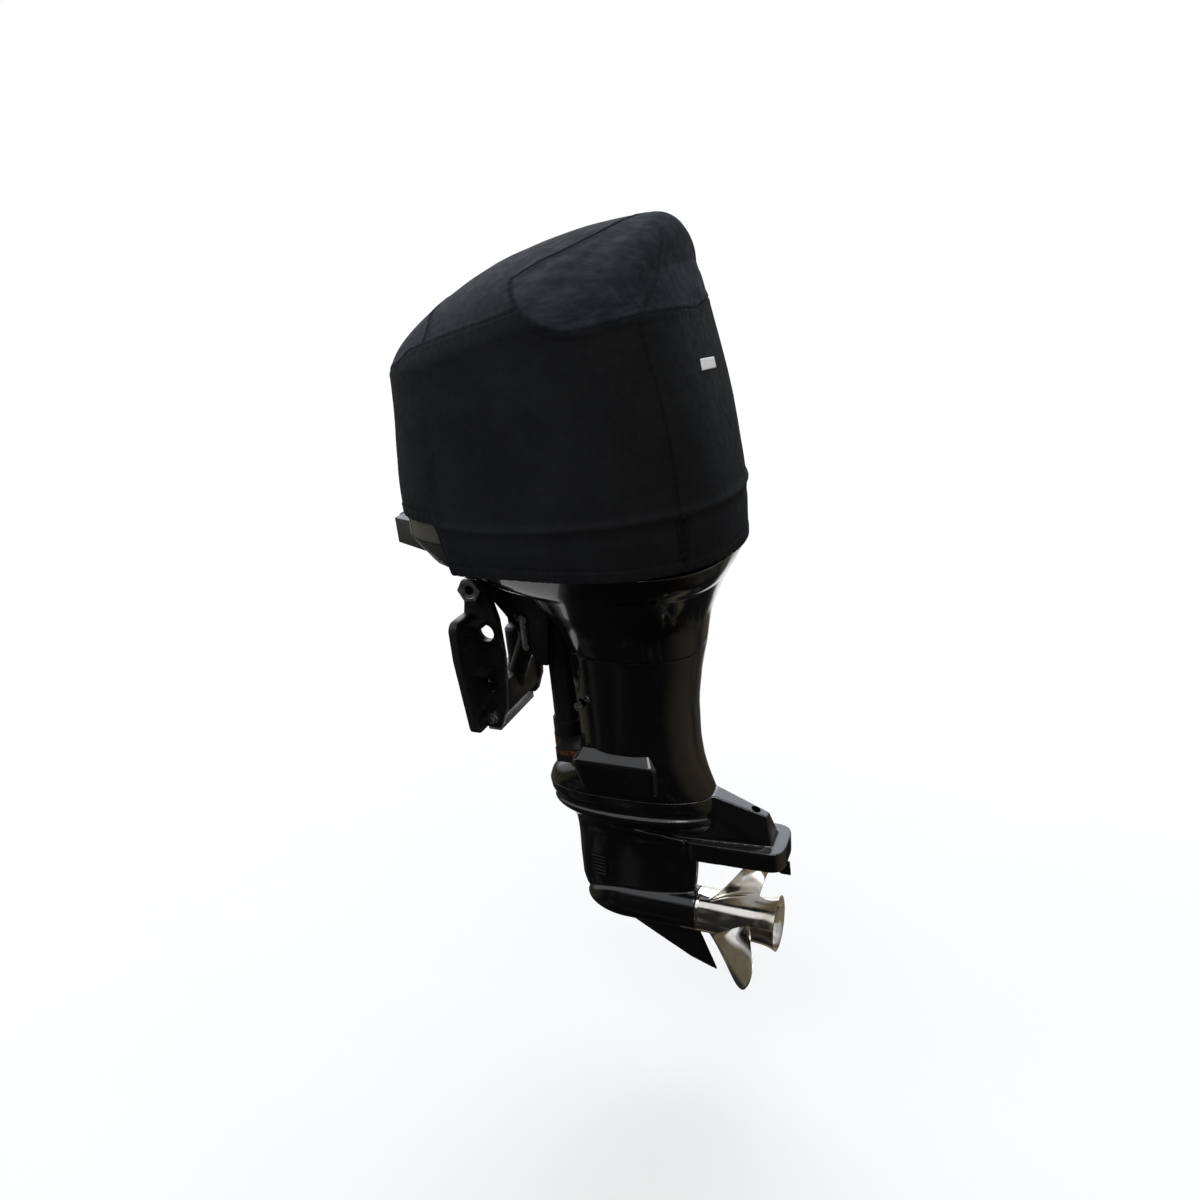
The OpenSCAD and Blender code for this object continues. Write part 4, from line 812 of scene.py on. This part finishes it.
def lipped(sections, low, high, wall, count):
    """Wall between two lofts with the outer edge broken at both ends."""
    levels = np.concatenate([[low, low + 0.5, low + 1.6], np.linspace(low + 5, high - 5, count),
                             [high - 1.6, high - 0.5, high]])
    outer = section_rings(sections, levels, RINGS)
    for k, d in ((0, 1.3), (1, 0.5), (2, 0.1), (-1, 1.3), (-2, 0.5), (-3, 0.1)):
        outer[k] = section_rings(sections, [levels[k]], RINGS, d)[0]
    return shell(outer, section_rings(sections, levels, RINGS, wall))


# Joint lines between the castings, and their walls
JOINT_GAP, SEAM_GAP, LEG_WALL, APRON_WALL = 0.2, 0.4, 8, 5
verts, faces = lipped(LEG, JOINT + JOINT_GAP, SEAM - SEAM_GAP, LEG_WALL, 70)
leg = make("leg_casing", row(verts), faces, "motor", ("leg_housing",))
# room in the leg for the steering shaft's foot, the lower yoke and the flush plugs
STEER_X, PLUG_X, PLUG_Z, PLUG_R = 88, -3, 400, 12
YOKE_ROOM = (14, -90, 219.5), (240, 90, 265.5)
plug_holes = [tool_cylinder((PLUG_X, side * 80, PLUG_Z), (0, side, 0), PLUG_R, 60) for side in SIDES]
cut(leg, [tool_cylinder((STEER_X, 0, JOINT + 56), UP, 45, 60), tool_box(*YOKE_ROOM)] + plug_holes)
verts, faces = lipped(APRON, SEAM + SEAM_GAP, HEM_Z - 2, APRON_WALL, 60)
apron = make("apron_casing", row(verts), faces, "motor", ("upper_apron",))
# the apron is open in front, where the swivel bracket stands
SWIVEL_ROOM = (46, -130, 222), (346, 130, 742.5)
cut(apron, [tool_box(*SWIVEL_ROOM)])


def add_inside(obj, parts):
    """Inner walls of the same casting, hidden when the motor is closed."""
    verts, faces = joined(parts)
    inner = make("inner", row(verts), faces, None)
    bm = bmesh.new()
    bm.from_mesh(obj.data)
    bm.from_mesh(inner.data)
    bm.to_mesh(obj.data)
    bm.free()
    bpy.data.objects.remove(inner)


COLUMN_TOP, COLUMN_WALL = 766.5, 8
ring = np.linspace(0, 2 * math.pi, 121)[:-1]
walls = [np.column_stack(outline(ring, 22 - d, -262 + d, 86 - d, 3, 0.5)) for d in (0, COLUMN_WALL)]
column = [[np.column_stack([w, np.full(len(ring), z)]) for z in (SEAM - 10, COLUMN_TOP)] for w in walls]
floors = [solid(section_rings(LEG, (low, low + 10), RINGS, 4)) for low in (JOINT + 0.3, SEAM - 10.6)]
add_inside(leg, [shell(*column)] + floors)
for obj in (leg, apron):
    shade_by_angle(obj, 40)
dress(leg, "gloss_black")
dress(apron, "gloss_black_moulding")


def hull(points):
    bm = bmesh.new()
    for p in points:
        bm.verts.new(tuple(p))
    bmesh.ops.convex_hull(bm, input=bm.verts)
    bmesh.ops.delete(bm, geom=[v for v in bm.verts if not v.link_faces], context="VERTS")
    bm.verts.index_update()
    out = [tuple(v.co) for v in bm.verts], [tuple(v.index for v in f.verts) for f in bm.faces]
    bm.free()
    return out


def disc(x, y, z, r, h, n=32):
    turns = [2 * math.pi * i / n for i in range(n)]
    return [(x + r * math.cos(a), y + r * math.sin(a), z + k * h) for k in (0, 1) for a in turns]


def ball(c, r, n=32):
    out = []
    for i in range(n // 2 + 1):
        a = math.pi * i / (n // 2)
        for j in range(n):
            b = 2 * math.pi * j / n
            out.append((c[0] + r[0] * math.sin(a) * math.cos(b), c[1] + r[1] * math.sin(a) * math.sin(b),
                        c[2] + r[2] * math.cos(a)))
    return out


def bar(points, r):
    return [hull(ball(a, (r, r, r), 16) + ball(b, (r, r, r), 16)) for a, b in zip(points, points[1:])]


def both(points):
    return list(points) + [(x, -y, z) for x, y, z in points]


def flip(part):
    verts, faces = part
    return [(x, -y, z) for x, y, z in verts], [tuple(reversed(f)) for f in faces]


def rounded(corners, r, steps=8):
    out = []
    for k, c in enumerate(corners):
        a, c, b = (np.array(p, float) for p in (corners[k - 1], c, corners[(k + 1) % len(corners)]))
        u, v = (a - c) / np.linalg.norm(a - c), (b - c) / np.linalg.norm(b - c)
        half = math.acos(np.clip(u @ v, -1, 1)) / 2
        reach = min(r / math.tan(half), 0.45 * min(np.linalg.norm(a - c), np.linalg.norm(b - c)))
        p, q = c + u * reach, c + v * reach
        for s in np.linspace(0, 1, steps):
            out.append((1 - s) ** 2 * p + 2 * s * (1 - s) * c + s * s * q)
    return np.array(out)


def cast_together(name, parts, body, node, passes=8):
    """Several closed forms grown into one casting with soft inner corners."""
    verts, faces = joined(parts)
    obj = make(name, row(verts), faces, body, (node,))
    mod = obj.modifiers.new("skin", "REMESH")
    mod.mode = "VOXEL"
    mod.voxel_size = 0.0022
    mod = obj.modifiers.new("soften", "SMOOTH")
    mod.factor = 0.5
    mod.iterations = passes
    return bake(obj)


# Gearcase: strut, bullet, skeg, tail wedge and anti-ventilation plate in one casting
PROP_Z, PLATE, BULLET_R, NOSE_X, NOSE = -220.0, 31.0, 56, 82, 118
GEARCASE = [(PROP_Z + 20, 84, -214, 30, 2, 0.62), (PROP_Z + 60, 92, -222, 31, 2, 0.62),
            (-100, 92, -230, 33, 2, 0.62), (-30, 90, -236, 38, 2, 0.62), (12, 92, -250, 46, 2, 0.6),
            (40, 104, -300, 60, 2.1, 0.6), (62, 118, -306, 84, 2.2, 0.55), (80, 136, -306, 94, 2.3, 0.55),
            (88, 140, -304, 95, 2.3, 0.55), (96, 140, -300, 86, 2.3, 0.55), (116, 146, -296, 90, 2.4, 0.55),
            (JOINT - 0.3, 146, -284, 92, 2.6, 0.55)]
levels = np.concatenate([np.linspace(PROP_Z + 20, 40, 60), np.linspace(43, JOINT - 0.3, 60)])
strut = solid(section_rings(GEARCASE, levels, 160))
turns = [math.radians(a) for a in range(2, 91, 4)]
nose = [(0.4, 0)] + [(BULLET_R * math.sin(a), NOSE * (1 - math.cos(a))) for a in turns]
bullet = lathe(nose + [(BULLET_R, h) for h in (200, 268, 307.6)], (NOSE_X, 0, PROP_Z), AFT, 128)
skeg = hull(disc(-10, 0, PROP_Z - 48, 7, 4) + disc(-212, 0, PROP_Z - 48, 3, 4) + disc(-196, 0, -383, 3.5, 4)
            + disc(-264, 0, -411, 2, 4))
wedge = hull(both(disc(-190, 50, PLATE - 4, 6, 4) + disc(-424, 30, PLATE - 4, 5, 4)
                  + disc(-200, 44, JOINT - 4.5, 4, 4) + disc(-286, 20, JOINT - 4.5, 4, 4)
                  + disc(-410, 8, PLATE + 62, 4, 4)))
edge_out = rounded([(-150, -26), (-240, -70), (-460, -64), (-460, 64), (-240, 70), (-150, 26)], 40)
edge_in = rounded([(-150, -19), (-238, -63), (-453, -57), (-453, 57), (-238, 63), (-150, 19)], 34)


def slab(ring, low, high):
    n = len(ring)
    v = [(x, y, z) for z in (low, high) for x, y in ring]
    f = [tuple(range(n)), tuple(2 * n - 1 - i for i in range(n))]
    return v, f + [(i, n + i, n + (i + 1) % n, (i + 1) % n) for i in range(n)]


def strip(outer, inner, low, high):
    n = len(outer)
    v = [(x, y, z) for ring, z in ((outer, low), (inner, low), (inner, high), (outer, high)) for x, y in ring]
    f = [(k * n + i, k * n + i + 1, (k + 1) % 4 * n + i + 1, (k + 1) % 4 * n + i)
         for k in range(4) for i in range(n - 1)]
    return v, f + [(0, n, 2 * n, 3 * n), (n - 1, 4 * n - 1, 3 * n - 1, 2 * n - 1)]


def outward(part):
    obj = merge(make("tool", part[0], part[1], None), 1e-6)
    out = [tuple(p.co) for p in obj.data.vertices], [tuple(p.vertices) for p in obj.data.polygons]
    bpy.data.objects.remove(obj)
    return out


plate = outward(slab(edge_out, PLATE - 6, PLATE))
SKIRT_FRONT = -196
behind = edge_out[:, 0] < SKIRT_FRONT
skirt = outward(strip(edge_out[behind], edge_in[behind], PLATE - 53, PLATE - 2))
rail = bar([(-36, 54.5, 33), (-90, 60, 33), (-150, 61, 32), (-215, 64, 28)], 6.5)
forms = [strut, bullet, skeg, wedge, plate, skirt] + rail + [flip(r) for r in rail]
gearcase = cast_together("gearcase_casting", forms, "motor", "gearcase")

INLET, INLET_SLANT, TAB_BOLT_X = (30, 34, -116), math.radians(-8), -384


def inlet_tool(side):
    """The pocket of a water inlet's screen, along the strut's slanting side."""
    c, s = math.cos(INLET_SLANT), math.sin(INLET_SLANT)
    v = [(INLET[0] + c * x - s * y, side * (INLET[1] + s * x + c * y), INLET[2] + z)
         for x in (-20, 20) for y in (-8, 14) for z in (-29, 29)]
    return merge(make("tool", row(v), BOX_FACES, None))


cut(gearcase, [inlet_tool(1), inlet_tool(-1), tool_cylinder((TAB_BOLT_X, 0, PLATE + 16), UP, 11, 80)])
shade_by_angle(gearcase, 42)
dress(gearcase, "gloss_black")

# Lower mount covers: a rounded shelf on each side of the leg, chamfered above and below
PAD_AFT, PAD_FORE, PAD_TOP, PAD_SHELF, PAD_FOOT, PAD_DRAFT = -160, 10, 279, 248, 178, 7
pads = []
for side in SIDES:
    pts = []
    for x, inner in ((PAD_AFT, PAD_AFT + PAD_DRAFT), (PAD_FORE, PAD_FORE - PAD_DRAFT)):
        pts += ball((inner, side * (LEG_W - 16), PAD_TOP), (8, 5, 4), 24)
        pts += ball((x, side * LEG_W, PAD_SHELF), (22, 15, 16), 32)
        pts += ball((inner, side * (LEG_W - 22), PAD_FOOT), (22, 20, 20), 32)
    pads.append(hull(pts))
mounts = cast_together("mount_cover_pads", pads, "motor", "lower_mount_covers", passes=5)
shade_by_angle(mounts, 50)
dress(mounts, "gloss_black")

# Propeller: left-handed, three blades with faired roots on a flared hub
PROP_X, HUB_R, TIP_R, PITCH = -227.0, 56.0, 188.0, 550.0
BLADE_TURN, BLADE_AFT, BLADE_RAKE, BLADE_SKEW, BLADE_CUP = 138, 88, 80, math.radians(3), 3.0


def blade_chord(s):
    out = max(s, 0)
    return (127 - 38 * s + 48 * s * s) * math.sqrt(max(0.0009, 1 - out ** 5)) + 8 * (1 - 0.7 * out ** 6)


def blade_thickness(s):
    out = max(s, 0)
    return mix(11, 3.0, out) * (1 if s < 0.97 else 0.8) + 13 * math.exp(-out / 0.045)


def blade(k, ns=56, nc=40):
    """Rings from inside the hub to the tip, each round one section of the blade."""
    turn = math.radians(120 * k + BLADE_TURN)
    rings = []
    for s in np.concatenate([[-0.03], np.linspace(0, 1, ns) ** 1.15]):
        r = mix(HUB_R - 3, TIP_R, s)
        twist = math.atan2(PITCH, 2 * math.pi * r)
        chord, thick = blade_chord(s), blade_thickness(s)
        ring = []
        for side in SIDES:
            for c in np.linspace(0, 1, nc)[::side]:
                if side < 0 and c in (0, 1):
                    continue
                e = (1 - math.cos(math.pi * c)) / 2
                along = (e - 0.5) * chord
                arch = 1 - (2 * e - 1) ** 2
                t = side * thick / 2 * (0.12 + 0.88 * math.sqrt(max(0, arch))) - BLADE_CUP * arch
                axial = along * math.sin(twist) + t * math.cos(twist) + BLADE_RAKE * s
                around = along * math.cos(twist) - t * math.sin(twist)
                a = around / r + BLADE_SKEW * s * s
                x, y = r * math.sin(a), r * math.cos(a)
                ring.append((PROP_X - axial - BLADE_AFT, x * math.sin(turn) + y * math.cos(turn),
                             PROP_Z + x * math.cos(turn) - y * math.sin(turn)))
        rings.append(ring)
    return solid(rings)


def spoke(k):
    """A web of the hub between its core and its outer ring."""
    a = math.radians(120 * k + 60)
    u, w = np.array([0, math.sin(a), math.cos(a)]), np.array([0, math.cos(a), -math.sin(a)])
    return hull([np.array([PROP_X - h, 0, PROP_Z]) + u * r + w * s
                 for h in (8, 100) for r in (25, 44) for s in (-4, 4)])


# Radius and distance aft: out along the ring to its flared tail and back through the exhaust's way out
HUB = [(39, 0), (54.6, 0), (HUB_R, 1.4), (HUB_R, 6), (55.2, 8), (HUB_R, 10), (HUB_R, 120), (56.4, 150),
       (57.8, 170), (60.4, 185), (64.4, 197), (67.4, 203), (68, 204.6), (66.4, 205.4), (63.4, 204),
       (57, 197), (51, 189), (46, 175), (43, 145), (40, 60), (39, 0)]
CORE = [(13, 0), (27, 0), (28, 1), (28, 106), (26, 110), (13, 110), (13, 0)]
hub, core = (lathe(profile, (PROP_X, 0, PROP_Z), AFT, n, False) for profile, n in ((HUB, 144), (CORE, 96)))
verts, faces = joined([blade(k) for k in range(3)] + [hub, core] + [spoke(k) for k in range(3)])
screw = make("polished_screw", row(verts), faces, "propeller", ("propeller",))
merge(screw, 1e-7)
shade_by_angle(screw, 38)
dress(screw, "polished_stainless")


# The photo's camera: turn about the upright, pitch down and roll, place in metres
VIEW_TURN, VIEW_PITCH, VIEW_ROLL = math.radians(24.4), math.radians(21.4), math.radians(-5.5)
VIEW_PLACE, VIEW_LENS = Vector((-1.158, 1.881, 0.886)), 28.56


def camera():
    data = bpy.data.cameras.new("photo_view")
    data.sensor_width = 36
    data.lens = VIEW_LENS
    data.clip_end = 100
    cam = bpy.data.objects.new("photo_view", data)
    SCENE.collection.objects.link(cam)
    level = math.cos(VIEW_PITCH)
    d = Vector((math.sin(VIEW_TURN) * level, -math.cos(VIEW_TURN) * level, -math.sin(VIEW_PITCH)))
    r = d.cross(Vector(UP)).normalized()
    u = r.cross(d)
    right = r * math.cos(VIEW_ROLL) + u * math.sin(VIEW_ROLL)
    up = -r * math.sin(VIEW_ROLL) + u * math.cos(VIEW_ROLL)
    turn = Matrix((right, up, -d)).transposed().to_4x4()
    cam.matrix_world = Matrix.Translation(VIEW_PLACE) @ turn
    SCENE.camera = cam


# Stage: a pale floor, a beach around it for reflections with a white backdrop, and soft lamps
FLOOR_DROP, FLOOR_R, FLOOR_N = 0.25, 40, 96
DIM_SKY, FAR_SKY, NEAR_SKY = (0.45, 0.47, 0.5), (2.3, 2.4, 2.6), (0.95, 0.97, 1.0)
SHADE, STREAK, UNDER = (0.018, 0.018, 0.019), (0.085, 0.084, 0.08), (0.012, 0.011, 0.010)
FORE_SAND, AFT_SAND, FAR_SAND = (0.14, 0.125, 0.09), (0.20, 0.17, 0.12), (0.11, 0.096, 0.072)
BEHIND_MOTOR = (0.385, -0.848, -0.365)
WHITE = (1, 1, 1, 1)


def studio_floor():
    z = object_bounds()[0][2] - FLOOR_DROP
    turns = [2 * math.pi * i / FLOOR_N for i in range(FLOOR_N)]
    verts = [(0, 0, z)] + [(FLOOR_R * math.cos(a), FLOOR_R * math.sin(a), z) for a in turns]
    faces = [(0, i + 1, (i + 1) % FLOOR_N + 1) for i in range(FLOOR_N)]
    ground = make("studio_floor", verts, faces, None)
    ground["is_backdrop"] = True
    ground.visible_glossy = False
    ground.visible_diffuse = False
    s = Shader("studio_floor")
    s.set(Base_Color=s.colour(s.noise(3, 3), (0.90, 0.88, 0.85), (0.92, 0.90, 0.87)), Roughness=0.8,
          Emission_Color=WHITE, Emission_Strength=0.18)
    ground.data.materials.append(s.mat)
    return ground


def studio_world():
    world = bpy.data.worlds.new("studio")
    SCENE.world = world
    world.use_nodes = True
    world.node_tree.nodes.clear()
    g = Graph(world.node_tree, "Generated")
    x, y, up = (g.axis(k) for k in range(3))

    # sky brightest away from the camera
    far_sky = g.colour(g.ramp(x, -0.5, -0.25), DIM_SKY, FAR_SKY)
    near_sky = g.colour(g.ramp(x, -0.8, -0.35), DIM_SKY, NEAR_SKY)
    sky = g.colour(g.ramp(y, -0.6, -0.25), far_sky, near_sky)
    # shaded ground in streaks, with sand before, behind and beyond the motor
    streaks = g.noise(1.0, 2.0, 0.5, g.stretch((6, 6, 0.5)))
    shade = g.colour(g.ramp(streaks, 0.52, 0.7), SHADE, STREAK)
    below = g.colour(g.ramp(up, -0.95, -0.75), UNDER, shade)
    beach = g.colour(g.ramp(x, 0.75, 0.85), below, FORE_SAND)
    sand = g.colour(g.ramp(x, -0.85, -0.35), AFT_SAND, beach)
    far_sand = g.colour(g.ramp(y, -0.85, -0.7), FAR_SAND, sand)
    ground_side = g.colour(g.ramp(up, -0.6, -0.45), sand, far_sand)
    # the shade reaches higher on the camera's side, as trees would
    tree_low, tree_top = (g.ramp(y, 0.3, 0.6, *rise, "LINEAR") for rise in ((-0.06, 0.56), (0.24, 0.72)))
    around = g.colour(g.ramp(up, tree_low, tree_top), ground_side, sky)

    # metal shows the white backdrop where it stands, straight behind the motor
    path = g.node("ShaderNodeLightPath").outputs
    facing = g.node("ShaderNodeVectorMath", {0: g.place, 1: BEHIND_MOTOR}, operation="DOT_PRODUCT")
    backdrop = g.math("MULTIPLY", path["Is Glossy Ray"], g.ramp(facing.outputs["Value"], 0.90, 0.95))
    seen = g.math("MAXIMUM", path["Is Camera Ray"], path["Is Transmission Ray"])
    light, white = (g.node("ShaderNodeBackground", {"Color": colour, "Strength": strength}).outputs[0]
                    for colour, strength in ((around, 0.9), (WHITE, 1.0)))
    shown = g.node("ShaderNodeMixShader", {0: g.math("MAXIMUM", seen, backdrop), 1: light, 2: white})
    g.node("ShaderNodeOutputWorld", {0: shown.outputs[0]})


def softbox(name, place, aim, size, power, colour=(1, 1, 1)):
    data = bpy.data.lights.new(name, "AREA")
    data.shape = "RECTANGLE"
    data.size, data.size_y = size
    data.energy = power
    data.color = colour
    lamp = bpy.data.objects.new(name, data)
    lamp.visible_camera = False
    SCENE.collection.objects.link(lamp)
    lamp.location = place
    lamp.rotation_euler = (Vector(aim) - Vector(place)).to_track_quat("-Z", "Y").to_euler()
    return lamp


def studio_lamps(ground):
    key = softbox("key", (-1.4, 1.6, 4.2), (-0.3, 0, 0.3), (2.4, 1.6), 62)
    fill = softbox("fill", (2.6, 2.4, 1.8), (-0.2, 0, 0.1), (1.2, 2.2), 38, (0.92, 0.96, 1))
    rear = softbox("rear", (-3.4, -1.4, 1.6), (-0.3, 0, -0.1), (1.2, 2.4), 1.5, (1, 0.95, 0.88))
    low_fill = softbox("low_fill", (0.3, 3.0, -0.3), (-0.3, 0.25, 0.3), (2.4, 1.0), 38)
    far_side = softbox("far_side", (1.2, -3.0, 2.6), (-0.3, 0, 0.2), (2.2, 1.8), 26)
    pale_side = softbox("pale_side", (-0.075, 0.24, -0.095), (-0.075, 0.2401, 0.5), (0.225, 0.225), 0.13)
    sand_bounce = softbox("sand_bounce", (-0.66, -0.22, -0.98), (-0.66, -0.2201, 0), (0.5, 0.5), 0.12,
                          (1, 0.84, 0.6))
    fill.visible_glossy = low_fill.visible_glossy = False

    # the lamps light the motor, and the floor has the world's even light with the motor's shadow in it
    motor = [o for o in SCENE.objects if o.type == "MESH" and o is not ground]
    for lamps, lit in (((key, fill, rear, far_side, sand_bounce), motor), ((pale_side,), [apron]),
                       ((low_fill,), [cover, stitches, tag, strap, strap_far])):
        shown_on = bpy.data.collections.new("lit_by_" + lamps[0].name)
        for obj in lit:
            shown_on.objects.link(obj)
        for lamp in lamps:
            lamp.light_linking.receiver_collection = shown_on


camera()
ground = studio_floor()
studio_world()
studio_lamps(ground)
SCENE.view_settings.view_transform = "Standard"
